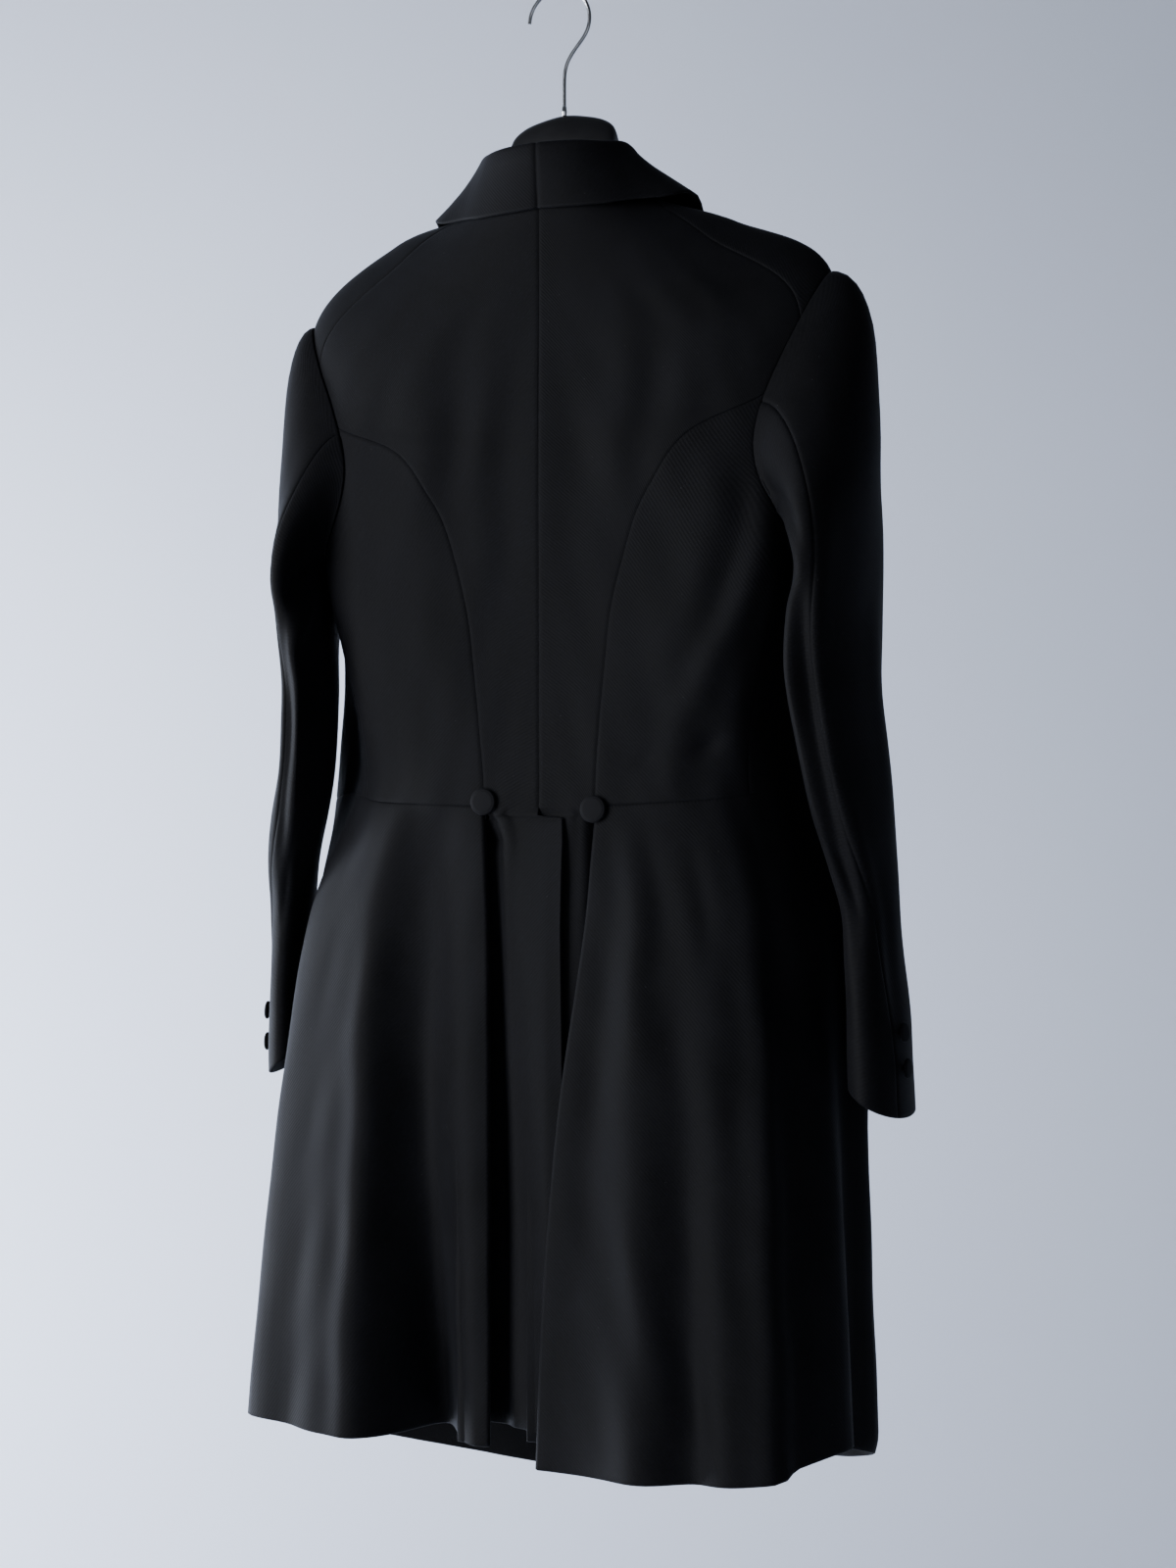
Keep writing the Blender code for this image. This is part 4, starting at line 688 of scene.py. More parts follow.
# %% [markdown]
# ## One sheet of cloth
# Worsted cloth with its canvas is about two millimetres thick, and its edges are turned and pressed, so
# they read as soft rolls and not as cut plates. A sheet is therefore a grid of points moved half a
# thickness each way and closed with a rounded rim. Along a seam the grid dips a little, which draws
# the fine dark line that a pressed seam shows. Each sheet also gets a UV map in real metres, so that
# the weave keeps its size everywhere.
# %% Sheet of cloth
SEAM_DIP = 0.00045
SEAM_DIP_WIDTH = 0.0013
SEAM_GAP = 0.00012
RIM_SHARE = 0.42
made = []


def add_piece(name, mesh, plain_node, point=None, direction=None):
    """Put a mesh in the scene, where asked at a point and facing a direction."""
    mesh.shade_smooth()
    item = bpy.data.objects.new(name, mesh)
    bpy.context.scene.collection.objects.link(item)
    if point is not None:
        item.location = Vector(point)
        item.rotation_mode = "QUATERNION"
        item.rotation_quaternion = Vector(direction).to_track_quat("Z", "Y")
    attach(item, "root")
    if plain_node:
        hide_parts(plain_node)
    made.append(item)
    return item


def grid_normals(points):
    """Directions square to a grid of points, from its own shape."""
    across = np.gradient(points, axis=1)
    up = np.gradient(points, axis=0)
    return unit(np.cross(unit(up), unit(across)))


def lengths(points, axis):
    """Real length along each row (axis 1) or column (axis 0) of a grid."""
    step = np.linalg.norm(np.diff(points, axis=axis), axis=2)
    start = np.zeros_like(points[:1, :, 0]) if axis == 0 else np.zeros_like(points[:, :1, 0])
    return np.concatenate((start, np.cumsum(step, axis=axis)), axis=axis)


def soften(points, passes):
    """Round the folds along each row a little."""
    for _ in range(passes):
        points[:, 1:-1] = points[:, :-2] * 0.25 + points[:, 1:-1] * 0.5 + points[:, 2:] * 0.25
    return points


def seam_dip(points, normals, edges, depth=SEAM_DIP):
    """Sink the cloth along its seams and draw the edge in by the seam's gap."""
    down = lengths(points, 0)
    along = lengths(points, 1)
    away = {"low": down, "high": down[-1:] - down, "first": along, "last": along[:, -1:] - along}
    sunk = np.zeros(points.shape[:2])
    for edge in edges:
        sunk = np.maximum(sunk, np.exp(-(away[edge] / SEAM_DIP_WIDTH) ** 2))
    points = points - normals * (sunk * depth)[..., None]
    if "low" in edges:
        points[0] += unit(points[1] - points[0]) * SEAM_GAP
    if "high" in edges:
        points[-1] += unit(points[-2] - points[-1]) * SEAM_GAP
    if "first" in edges:
        points[:, 0] += unit(points[:, 1] - points[:, 0]) * SEAM_GAP
    if "last" in edges:
        points[:, -1] += unit(points[:, -2] - points[:, -1]) * SEAM_GAP
    return points


def rim_loop(rows, columns):
    """Grid points round the rim, in order."""
    loop = list(range(columns))
    loop += [i * columns + columns - 1 for i in range(1, rows)]
    loop += [(rows - 1) * columns + j for j in range(columns - 2, -1, -1)]
    return loop + [i * columns for i in range(rows - 2, 0, -1)]


def rim_outward(points):
    """For each rim point, the direction out of the sheet in its own plane."""
    out = np.zeros_like(points)
    out[0] += unit(points[0] - points[1])
    out[-1] += unit(points[-1] - points[-2])
    out[:, 0] += unit(points[:, 0] - points[:, 1])
    out[:, -1] += unit(points[:, -1] - points[:, -2])
    return unit(out)


def sheet_object(name, points, normals, plain_node, thickness=WALL):
    """A thin closed sheet from a grid of frame points, standing for a node of the plain model."""
    rows, columns = points.shape[:2]
    outer = (points + normals * thickness / 2).reshape(-1, 3)
    inner = (points - normals * thickness / 2).reshape(-1, 3)
    rim = np.array(rim_loop(rows, columns))
    out = rim_outward(points).reshape(-1, 3)[rim]
    middle = points.reshape(-1, 3)[rim] + out * thickness * RIM_SHARE
    count = rows * columns
    a = (np.arange(rows - 1)[:, None] * columns + np.arange(columns - 1)[None, :]).ravel()
    front = np.stack((a, a + 1, a + columns + 1, a + columns), axis=1)
    after = np.roll(rim, -1)
    here = 2 * count + np.arange(len(rim))
    beyond = np.roll(here, -1)
    upper = np.stack((after, rim, here, beyond), axis=1)
    lower = np.stack((beyond, here, count + rim, count + after), axis=1)
    faces = np.concatenate((front, count + front[:, ::-1], upper, lower))
    mesh = bpy.data.meshes.new(name)
    mesh.from_pydata(np.concatenate((outer, inner, middle)).tolist(), [], faces.tolist())
    side_length = lengths(points, 1)
    uv = np.stack((side_length - side_length[:, :1], lengths(points, 0)), axis=-1).reshape(-1, 2)
    uv = np.concatenate((uv, uv, uv[rim]))
    layer = mesh.uv_layers.new(name="cloth_metres")
    corner = np.empty(len(mesh.loops), dtype=np.int32)
    mesh.loops.foreach_get("vertex_index", corner)
    layer.data.foreach_set("uv", uv[corner].ravel())
    work = bmesh.new()
    work.from_mesh(mesh)
    if work.calc_volume(signed=True) < 0:
        bmesh.ops.reverse_faces(work, faces=work.faces[:])
    work.to_mesh(mesh)
    work.free()
    print(name, len(mesh.polygons), "faces")
    return add_piece(name, mesh, plain_node)


# %% [markdown]
# ## Body panels
# The back runs from neck to hem in one piece, and below the waist it is the pair of centre tails, the
# left lapping over the right at the vent. The side back sits between two curved seams. The front goes
# over the shoulder. Each is sampled on the form between its seams.
# %% Back with its tails
def tail_section(side, drop, share):
    """Out and in of the centre tail across its width, below the waist seam."""
    rows = TAIL_ROWS[side]
    drops = [row[0] for row in rows]
    size = {name: np.interp(drop, drops, [row[k] for row in rows])
            for k, name in enumerate(TAIL_COLUMNS)}
    knots = (0.0, TAIL_FOLD_SHARE, 0.5 + TAIL_FOLD_SHARE / 2, 1.0)
    step_x = size["fold_x"] + (size["shelf_x"] - size["fold_x"]) * 0.25
    out = np.interp(share, knots, (-size["lap"], size["fold_x"], step_x, size["shelf_x"]))
    deep = size["shelf_in"]
    return out, np.interp(share, knots, (size["lap_in"], size["fold_in"], deep, deep))


def back_places(side):
    """Places of the back panel: level rows from the centre back out to its seams."""
    outer = np.concatenate((seam_points("side back", side), seam_points("back armhole", side)[1:],
                            seam_points("shoulder", side)[1:]))
    around = outer[:, :1] * spread(BACK_COLUMNS)[None, :]
    return np.stack((around, np.repeat(outer[:, 1:], BACK_COLUMNS, axis=1)), axis=-1)


def tail_drops(side):
    """Heights below the waist seam where the tail is sampled, crowded at the head of the vent."""
    rows = [row[0] for row in TAIL_ROWS[side]]
    low = list(np.linspace(rows[2], rows[-1], TAIL_LOW_ROWS))
    return [0.0015, 0.003, 0.0045, rows[0], 0.0068, 0.0074, rows[1], 0.0105, 0.014, 0.018] + low


# The left tail hollows towards the hem, and both are eased at the head of the vent, tucked clear of the
# skirt's turned pleat just below the button, and carried on under the skirt
TAIL_SWAY = 0.0012
TAIL_HOLLOW = {"left": 0.0110, "right": 0.0}
VENT_HEAD_FLAT = {"left": 0.0020, "right": -0.0018}
PLEAT_TUCK = 0.0045
TAIL_UNDER = 0.0100


def tail_points(side, waist, drop):
    """One row of the tail, eased from the waist row above it."""
    share = spread(BACK_COLUMNS)
    first = TAIL_ROWS[side][0][0]
    out, inward = tail_section(side, max(drop, first), share)
    blend = min(drop / first, 1.0)
    sway = TAIL_SWAY * np.sin(share * 7 + drop * 11) * min(drop / 0.2, 1.0)
    hollow = TAIL_HOLLOW[side] * np.clip((out + 0.006) / 0.026, 0, 1) * min(drop / 0.30, 1.0)
    head = max(1.0 - drop / 0.05, 0.0)
    flat = VENT_HEAD_FLAT[side] * head * (share < TAIL_FOLD_SHARE * 0.8)
    under = np.clip((share - TAIL_FOLD_SHARE) / (1 - TAIL_FOLD_SHARE), 0, 1)
    tuck = PLEAT_TUCK * np.clip((drop - 0.006) / 0.005, 0, 1) * np.clip((0.034 - drop) / 0.012, 0, 1)
    out = out + under * TAIL_UNDER * np.clip((drop - 0.009) / 0.003, 0, 1)
    inward = inward + sway + hollow + flat + under ** 0.5 * tuck
    row = np.stack((out, inward, waist[:, 2] - drop), axis=1)
    row[:, :2] = waist[:, :2] * (1 - blend) + row[:, :2] * blend
    return row


def make_back(side, sign):
    """The back panel and its tail."""
    places = back_places(side)
    upper = cloth(side, places[..., 0], places[..., 1])
    lower = np.array([tail_points(side, upper[0], drop) for drop in reversed(tail_drops(side))])
    lower = soften(lower, 3)
    points = place_in_frame(np.concatenate((lower, upper)), sign)
    normals = grid_normals(points) * sign
    on_form = frame_direction(cloth_normal(side, places[..., 0], places[..., 1]), sign)
    normals[len(lower) + 2:] = on_form[2:]
    dipped = seam_dip(points, normals, ("first", "last", "high"))
    dipped[:len(lower)] = points[:len(lower)]
    item = sheet_object("back_cloth_" + side, dipped, normals, "back_" + side)


for side, sign in SIDES:
    make_back(side, sign)

# %% Side backs and fronts


def panel_on_form(name, side, sign, places, edges, plain_node):
    """A panel that lies wholly on the form."""
    points = place_in_frame(cloth(side, places[..., 0], places[..., 1]), sign)
    normals = frame_direction(cloth_normal(side, places[..., 0], places[..., 1]), sign)
    points = seam_dip(points, normals, edges)
    item = sheet_object(name, points, normals, plain_node)


def side_back_places(side):
    """Places of the side back panel between its four seams."""
    low = seam_points("side back waist", side)
    high = seam_points("side back armhole", side)
    u = spread(SIDE_BACK_COLUMNS)[None, :, None]
    w = spread(SEAM_ROWS)[:, None, None]
    left = seam_points("side back", side)[:, None]
    right = seam_points("side", side)[:, None]
    corners = low[0] * (1 - u) * (1 - w) + low[-1] * u * (1 - w) + high[0] * (1 - u) * w + high[-1] * u * w
    return low[None] * (1 - w) + high[None] * w + left * (1 - u) + right * u - corners


def front_places(side):
    """Places of the front panel: rows from the side seam and armhole to the front edge."""
    left = np.concatenate((seam_points("side", side), seam_points("front armhole", side)[1:]))
    low_levels = WAIST_LEVEL + (FRONT_RAYS[0][1] - WAIST_LEVEL) * spread(SEAM_ROWS)
    right = edge_places(np.concatenate((low_levels, front_rays()[1:, 1])))
    share = spread(FRONT_COLUMNS)[None, :, None]
    ruled = left[:, None] * (1 - share) + right[:, None] * share
    seam = seam_points("shoulder", side)
    weight = np.linspace(0, 1, len(left))[:, None, None] ** 6
    return ruled + weight * (seam - ruled[-1])[None]


for side, sign in SIDES:
    panel_on_form("side_back_cloth_" + side, side, sign, side_back_places(side),
                  ("low", "high", "first", "last"), "side_back_" + side)
    panel_on_form("front_cloth_" + side, side, sign, front_places(side), ("low", "high", "first"),
                  "front_" + side)

# %% [markdown]
# ## Skirt, pleat and lining
# The skirt is sewn to the waist seam and hangs free. At the back it is folded under itself below the
# button, which makes the deep dark line of the pleat. Its fold is a small arc here, so that it catches
# a thin line of light as the real edge does. The satin lining shows only inside, near the open front.
# %% Skirt


def pleat_around(side, level):
    """Place round the ring of the pleat's folded edge at a level."""
    width = smooth_through(range(len(PLEAT_EDGE[side])), PLEAT_EDGE[side], level)
    return around_at_width(side, width, np.asarray(level, float))


def skirt_places(side):
    """Places of the skirt from the pleat's fold round to the front edge."""
    levels = WAIST_LEVEL * spread(SKIRT_ROWS)
    first = seam_points("side back waist", side)[:, 0]
    second = seam_points("front waist", side)[:, 0]
    top = np.concatenate((first, second[1:]))
    share = (top - top[0]) / (top[-1] - top[0])
    fold = np.array([float(pleat_around(side, level)) for level in levels])[:, None]
    around = fold + (1.0 - fold) * share[None]
    return around, np.repeat(levels[:, None], around.shape[1], axis=1)


def pleat_arc(fold, outward, normal):
    """Turned-under part of the skirt and the round fold, as columns of points."""
    radius = PLEAT_DEPTH / 2 - 0.0002
    flat_run = np.linspace(PLEAT_RETURN, radius * 1.3, 8)
    columns = [fold + outward * along - normal * 2 * radius for along in flat_run]
    for turn in np.radians(np.linspace(-90, 90, 11)):
        back = radius * (1 - math.cos(turn))
        columns.append(fold + outward * back - normal * radius * (1 - math.sin(turn)))
    return columns


def make_skirt(side, sign):
    """The skirt panel with its pleat."""
    around, level = skirt_places(side)
    points = cloth(side, around, level)
    normals = cloth_normal(side, around, level)
    outward = unit(points[:, 6:7] - points[:, :1])
    keep = lengths(points, 1).min(axis=0) > 0.0045
    columns = pleat_arc(points[:, :1], outward, normals[:, :1])
    grid = place_in_frame(np.concatenate(columns + [points[:, keep]], axis=1), sign)
    directions = grid_normals(grid) * sign
    free = len(columns) + 2
    directions[:, free:] = frame_direction(normals[:, keep], sign)[:, 2:]
    dipped = seam_dip(grid, directions, ("high",))
    item = sheet_object("skirt_cloth_" + side, dipped, directions, "skirt_" + side)


def make_lining(side, sign):
    """The satin inside the front of the skirt."""
    around, level = skirt_places(side)
    chosen = (around[0] > 0.55) & (around[0] < 0.93)
    rows = (level[:, 0] > 0.12) & (level[:, 0] < 3.9)
    around = around[rows][:, chosen]
    level = level[rows][:, chosen]
    inside = cloth_normal(side, around, level)
    ripple = 0.0004 * np.sin(around * 300 + level * 2)[..., None]
    points = cloth(side, around, level) - inside * (LINING_INSET + 0.0004 + ripple)
    grid = place_in_frame(points, sign)
    directions = frame_direction(inside, sign)
    item = sheet_object("lining_satin_" + side, grid, directions, "skirt_lining_" + side, 0.0008)


for side, sign in SIDES:
    make_skirt(side, sign)
    make_lining(side, sign)

# %% [markdown]
# ## Sleeves
# A coat sleeve is two pieces, a broad top sleeve and a narrower under sleeve, so it bends like an arm.
# Hanging empty it goes flat, and a deep soft hollow runs down behind the elbow. The rows of the table
# are sections across the sleeve. The head is a fair curve from the armhole into the first section.
# %% Sleeves
SLEEVE_COLUMNS_EACH = 44
SLEEVE_HEAD_ROWS = 26
SLEEVE_TUBE_ROWS = 92
SLEEVE_CREASES = (
    # side, angle in degrees and height at the top, the same at the foot, half width, rises
    ("right", 158, -0.300, 96, -0.405, 0.010, 0.0006, 0.0040, 0.0010),
    ("right", 160, -0.335, 92, -0.435, 0.009, -0.0006, -0.0042, -0.0008),
    ("right", 165, -0.400, 112, -0.450, 0.011, 0.0004, 0.0030, 0.0000),
    ("right", 128, -0.230, 118, -0.330, 0.010, 0.0000, 0.0016, 0.0000),
    ("right", 60, -0.300, 62, -0.560, 0.014, 0.0000, -0.0024, 0.0000),
    ("right", 128, -0.470, 118, -0.640, 0.013, 0.0000, 0.0026, 0.0000),
    ("right", 48, -0.560, 30, -0.680, 0.011, 0.0000, -0.0020, 0.0000),
    ("right", 100, -0.600, 70, -0.670, 0.010, 0.0000, 0.0022, 0.0000),
    ("right", 20, -0.620, 15, -0.770, 0.012, 0.0000, 0.0018, 0.0000),
    ("left", 160, -0.390, 108, -0.440, 0.010, 0.0006, 0.0036, 0.0008),
    ("left", 162, -0.425, 100, -0.480, 0.009, -0.0004, -0.0040, -0.0006),
    ("left", 130, -0.460, 116, -0.640, 0.012, 0.0000, 0.0030, 0.0000),
    ("left", 70, -0.300, 84, -0.500, 0.012, 0.0000, -0.0026, 0.0000),
    ("left", 40, -0.300, 50, -0.520, 0.014, 0.0000, 0.0020, 0.0000),
    ("left", 40, -0.560, 30, -0.700, 0.012, 0.0000, -0.0018, 0.0000),
    ("left", 116, -0.600, 80, -0.690, 0.010, 0.0000, 0.0020, 0.0000),
    ("left", -30, -0.400, -20, -0.640, 0.014, 0.0000, -0.0022, 0.0000),
    ("right", -30, -0.400, -20, -0.640, 0.014, 0.0000, -0.0022, 0.0000),
)
ARM_RADIUS = 0.050
# How far the upper arm bulges behind the seam, and the height and angle where it does
SLEEVE_LOBE = {"left": 0.0060, "right": 0.0050}
LOBE_Z = -0.50
LOBE_REACH_Z = 0.11
LOBE_ANGLE = 128
LOBE_REACH_ANGLE = 24


def sleeve_row(side, place):
    """A row of the sleeve table read between its rows, as a dictionary."""
    table = SLEEVE_ROWS[side]
    row = smooth_through(np.arange(len(table), dtype=float), table, np.array([place]))[0]
    return dict(zip(SLEEVE_COLUMNS, row))


def sleeve_section(side, place, angle):
    """Points (out, in, z) of the sleeve's section at a place down the table."""
    size = sleeve_row(side, place)
    turn = math.radians(size["turn"])
    outward = np.array((math.cos(turn), -math.sin(turn), 0.0))
    rearward = np.array((-math.sin(turn), -math.cos(turn), 0.0))
    centre = np.array((size["centre_x"], size["centre_in"], size["z"]))
    dent = size["trough"] * np.exp(-((np.degrees(angle) - TROUGH_PLACE) / TROUGH_WIDTH) ** 2)
    across = size["half_thick"] * np.cos(angle)
    along = size["half_width"] * np.sin(angle) - dent
    window = math.exp(-((size["z"] - LOBE_Z) / LOBE_REACH_Z) ** 2)
    lobe = np.exp(-((np.degrees(angle) - LOBE_ANGLE) / LOBE_REACH_ANGLE) ** 2)
    along = along + SLEEVE_LOBE[side] * window * lobe
    points = centre + across[:, None] * outward + along[:, None] * rearward
    tilt = np.clip(place - (len(SLEEVE_ROWS[side]) - 2), 0, 1)
    points[:, 2] -= CUFF_TILT * np.cos(angle) * tilt
    return points


def hind_seam_angle(z):
    """Angle of the hind arm seam at a height."""
    heights = [row[0] for row in HIND_SEAM][::-1]
    angles = [row[1] for row in HIND_SEAM][::-1]
    return math.radians(np.interp(z, heights, angles))


def sleeve_angles(z):
    """Angles of the columns at a height: fore seam, over the top sleeve, hind seam, under sleeve."""
    fore = math.radians(FORE_SEAM)
    hind = hind_seam_angle(z)
    share = spread(SLEEVE_COLUMNS_EACH)
    return np.concatenate((fore + (hind - fore) * share, hind + (fore + math.tau - hind) * share[1:]))


def sleeve_crease(side, angle, height):
    """Rise of the sleeve's creases for angles and heights."""
    uneven = 0.0006 * np.sin(angle * 3 + height * 29) * np.sin(height * 47 + 0.5)
    place = angle * ARM_RADIUS + 0.002 * np.sin(height * 43)
    return uneven + laid_creases(SLEEVE_CREASES, side, place, height, math.radians(ARM_RADIUS))


def loop_normals(points):
    """Outward directions of a grid whose first and last columns meet."""
    wrapped = np.concatenate((points[:, -2:-1], points, points[:, 1:2]), axis=1)
    return -grid_normals(wrapped)[:, 1:-1]


def sleeve_loop(side):
    """Points (out, in, z) all round the sleeve, cuff row first."""
    last = len(SLEEVE_ROWS[side]) - 1
    places = last * (1 - spread(SLEEVE_TUBE_ROWS))
    angles = [sleeve_angles(float(sleeve_row(side, place)["z"])) for place in places]
    rows = [sleeve_section(side, place, angle) for place, angle in zip(places, angles)]
    angle = angles[-1]
    ring = rows[-1]
    down = unit(rows[-8] - ring)
    around, level = armhole(angle)
    away = cloth_normal(side, around, level)
    start = cloth(side, around, level) + away * SLEEVE_STAND
    away = unit(away * HEAD_RISE + np.array((1.0, 0.0, -HEAD_DROP)))
    reach = np.linalg.norm(ring - start, axis=1, keepdims=True)
    for t in 1 - spread(SLEEVE_HEAD_ROWS)[1:]:
        rows.append(cubic_run(t, start, away * reach * HEAD_FULLNESS[side], ring, down * reach))
        angles.append(angle)
    points = np.array(rows)
    rise = sleeve_crease(side, np.array(angles), points[..., 2])
    fade = np.ones(len(rows))
    fade[-10:] = np.linspace(1, 0, 10)
    fade[:8] = np.linspace(0.3, 1, 8)
    return points + loop_normals(points) * (rise * fade[:, None])[..., None]


sleeve_walls = {}
for side, sign in SIDES:
    points = place_in_frame(sleeve_loop(side), sign)
    normals = loop_normals(points) * sign
    middle = SLEEVE_COLUMNS_EACH - 1
    sleeve_walls[side] = (points[:, :middle + 1], normals[:, :middle + 1])
    for part_name, cut in (("top", slice(None, middle + 1)), ("under", slice(middle, None))):
        wall = seam_dip(points[:, cut], normals[:, cut], ("first", "last"), 0.0008)
        item = sheet_object("sleeve_" + part_name + "_cloth_" + side, wall, normals[:, cut],
                            "sleeve_" + part_name + "_" + side)

# %% [markdown]
# ## Collar
# A shawl collar is cut as one long curve: it stands up round the neck, rolls over, and its fall lies
# on the shoulders and runs down the front edge. The roll must be round and never a crease, so the
# profile across it is a smooth curve through a few named heights.
# %% Collar
COLLAR_ALONG = 90
COLLAR_ACROSS = 46


def neck_path():
    """Places and levels of the collar's seam: round the neck, then down the roll line."""
    back = level_run(0.0, SHOULDER_SEAM_NECK, float(NECK_LEVEL), COLLAR_ALONG // 3)
    level = np.concatenate((np.linspace(NECK_LEVEL + 1.0, NECK_LEVEL, 16)[1:],
                            np.linspace(NECK_LEVEL, ROLL_LINE[0][0], COLLAR_ALONG - COLLAR_ALONG // 3)[1:]))
    return np.concatenate((back, edge_places(level)))


def collar_grid(side):
    """Points (out, in, z) of the collar, from the centre back to the break."""
    path = neck_path()
    around = path[:, 0]
    level = path[:, 1]
    base = cloth(side, around, level)
    outward = cloth_normal(side, around, level)
    length = np.concatenate(([0.0], np.cumsum(np.linalg.norm(np.diff(base, axis=0), axis=1))))
    place = length / length[-1]
    size = {name: smooth_through([row[0] for row in COLLAR_ROWS], [row[k] for row in COLLAR_ROWS], place)
            for k, name in enumerate(COLLAR_COLUMNS)}
    tangent = unit(np.gradient(base, axis=0))
    tangent[0] = (1.0, 0.0, 0.0)
    # Away from the neck along the cloth, square to the neck seam, and the same in places and levels
    away = unit(np.cross(tangent, outward))
    step = 0.004
    by_around = (cloth(side, np.minimum(around + step, 1.0), level)
                 - cloth_past_centre(side, around - step, level)) / (2 * step)
    by_level = (base - cloth(side, around, level - step)) / step
    moves = np.array([np.linalg.lstsq(np.stack((u, v), axis=1), w, rcond=None)[0]
                      for u, v, w in zip(by_around, by_level, away)])
    # Where the stand is full the collar stands free of the cloth, and where it is low it lies on it
    full = np.clip(size["rise"] / COLLAR_FULL_STAND, 0, 1)[:, None]
    vertical = np.array((0.0, 0.0, 1.0))
    level_out = unit(np.cross(tangent, vertical))
    over = unit(level_out * full + outward * (1 - full))
    up = unit(vertical * full - away * (1 - full))
    top = base + np.stack((size["lean_x"], size["lean_in"], size["rise"]), axis=1)
    foot = base + unit(top - base) * COLLAR_SEAM_GAP
    radius = COLLAR_FOLD_RADIUS
    rows = [foot, (foot + top) / 2, top, top + up * radius * 0.9 + over * radius * 0.6,
            top + up * radius * 0.6 + over * radius * 1.8]
    lift = size["lift_" + side]
    start = top + over * radius * 2.2
    edge = None
    falls = []
    for share in (1.0, 0.8, 0.55, 0.3, 0.1):
        on_around = np.abs(around + moves[:, 0] * size["reach"] * share)
        on_level = level + moves[:, 1] * size["reach"] * share
        clear = (COLLAR_CLEAR + lift * share)[:, None]
        lying = cloth(side, on_around, on_level) + cloth_normal(side, on_around, on_level) * clear
        edge = lying if edge is None else edge
        hanging = start * (1 - share) + edge * share
        falls.append(hanging * full + lying * (1 - full))
    return np.stack(rows + falls[::-1], axis=1)


def make_collar(side, sign):
    """One half of the collar, from the centre back seam to the break."""
    rough = collar_grid(side)
    index = np.arange(rough.shape[1], dtype=float)
    fine = smooth_through(index, np.swapaxes(rough, 0, 1), np.linspace(0, index[-1], COLLAR_ACROSS))
    grid = np.swapaxes(fine, 0, 1)
    points = place_in_frame(grid, sign)
    normals = grid_normals(points) * sign
    normals[0, :, 0] = 0.0
    normals = unit(normals)
    points = seam_dip(points, normals, ("low",), 0.0008)
    item = sheet_object("collar_cloth_" + side, points, normals, "collar_" + side)


for side, sign in SIDES:
    make_collar(side, sign)

# %% [markdown]
# ## Covered buttons, hanger, hook and stitches
# The waist and cuff buttons are metal shells covered in the coat's own cloth, so they are low domes
# with a soft edge. The hanger is moulded plastic with a tall neck. Its hook is bent from polished
# wire. Stitches show only where the vent is closed, because the seams of fine tailoring hide theirs.
# %% Buttons


BUTTON_STEPS = 56
PLUG_STEPS = 40


def turned(name, profile, steps):
    """Mesh of a round piece from its half profile, listed from the top down."""
    mesh = bpy.data.meshes.new(name)
    vertices = []
    faces = []
    for k in range(steps):
        turn = math.tau * k / steps
        vertices += [(r * math.cos(turn), r * math.sin(turn), z) for r, z in profile]
    count = len(profile)
    for k in range(steps):
        after = (k + 1) % steps
        for j in range(count - 1):
            faces.append((k * count + j, k * count + j + 1, after * count + j + 1, after * count + j))
    mesh.from_pydata(vertices, [], faces)
    work = bmesh.new()
    work.from_mesh(mesh)
    bmesh.ops.remove_doubles(work, verts=work.verts[:], dist=0.00001)
    bmesh.ops.recalc_face_normals(work, faces=work.faces[:])
    if work.calc_volume(signed=True) < 0:
        bmesh.ops.reverse_faces(work, faces=work.faces[:])
    work.to_mesh(mesh)
    work.free()
    return mesh


def covered_button(name, radius, thick, stalk, plain_node, point, direction):
    """A cloth-covered button with a low dome and a pressed ring near its edge."""
    profile = [(0.0, stalk + thick)]
    for share in np.linspace(0.08, 0.80, 10):
        profile.append((radius * share, stalk + thick - 0.00035 * share ** 2))
    profile.append((radius * 0.845, stalk + thick - 0.00055))
    for turn in np.radians(np.linspace(80, -80, 14)):
        edge = thick * 0.40
        profile.append((radius - edge + edge * math.cos(turn), stalk + thick * 0.46 + edge * math.sin(turn)))
    profile.append((radius * 0.60, stalk))
    if stalk > 0:
        profile.append((CUFF_BUTTON_STALK_RADIUS, stalk))
        profile.append((CUFF_BUTTON_STALK_RADIUS, 0.0))
    profile.append((0.0, 0.0))
    add_piece(name, turned(name, profile, BUTTON_STEPS), plain_node, point, direction)


for side, sign in SIDES:
    height = np.array([BACK_BUTTON_Z[side]])
    around = around_at_width(side, BACK_BUTTON_X, np.array([float(WAIST_LEVEL)]))
    level = level_at_height(side, around, height)
    direction = frame_direction(cloth_normal(side, around, level), sign)[0]
    point = place_in_frame(cloth(side, around, level), sign)[0] + direction * 0.0015
    covered_button("covered_button_waist_" + side, BACK_BUTTON_RADIUS, BACK_BUTTON_THICK, 0.0,
                   "back_button_" + side, point, direction)
    points, normals = sleeve_walls[side]
    column = SLEEVE_COLUMNS_EACH - 9
    heights = points[:, column, 2] - DATUM_Z
    order = np.argsort(heights)
    for number, height in enumerate(CUFF_BUTTON_HEIGHTS, 1):
        point = np.array([np.interp(height, heights[order], points[order, column, k]) for k in range(3)])
        direction = unit(np.array([np.interp(height, heights[order], normals[order, column, k])
                                   for k in range(3)]))
        covered_button("covered_button_cuff_" + side + "_" + str(number), CUFF_BUTTON_RADIUS,
                       CUFF_BUTTON_THICK, CUFF_BUTTON_STALK, "cuff_button_" + side + "_" + str(number),
                       point + direction * (WALL / 2 + 0.0002), direction)
print("buttons", 6)

# %% Hanger
HANGER_STEPS = 120
HANGER_AROUND = 40


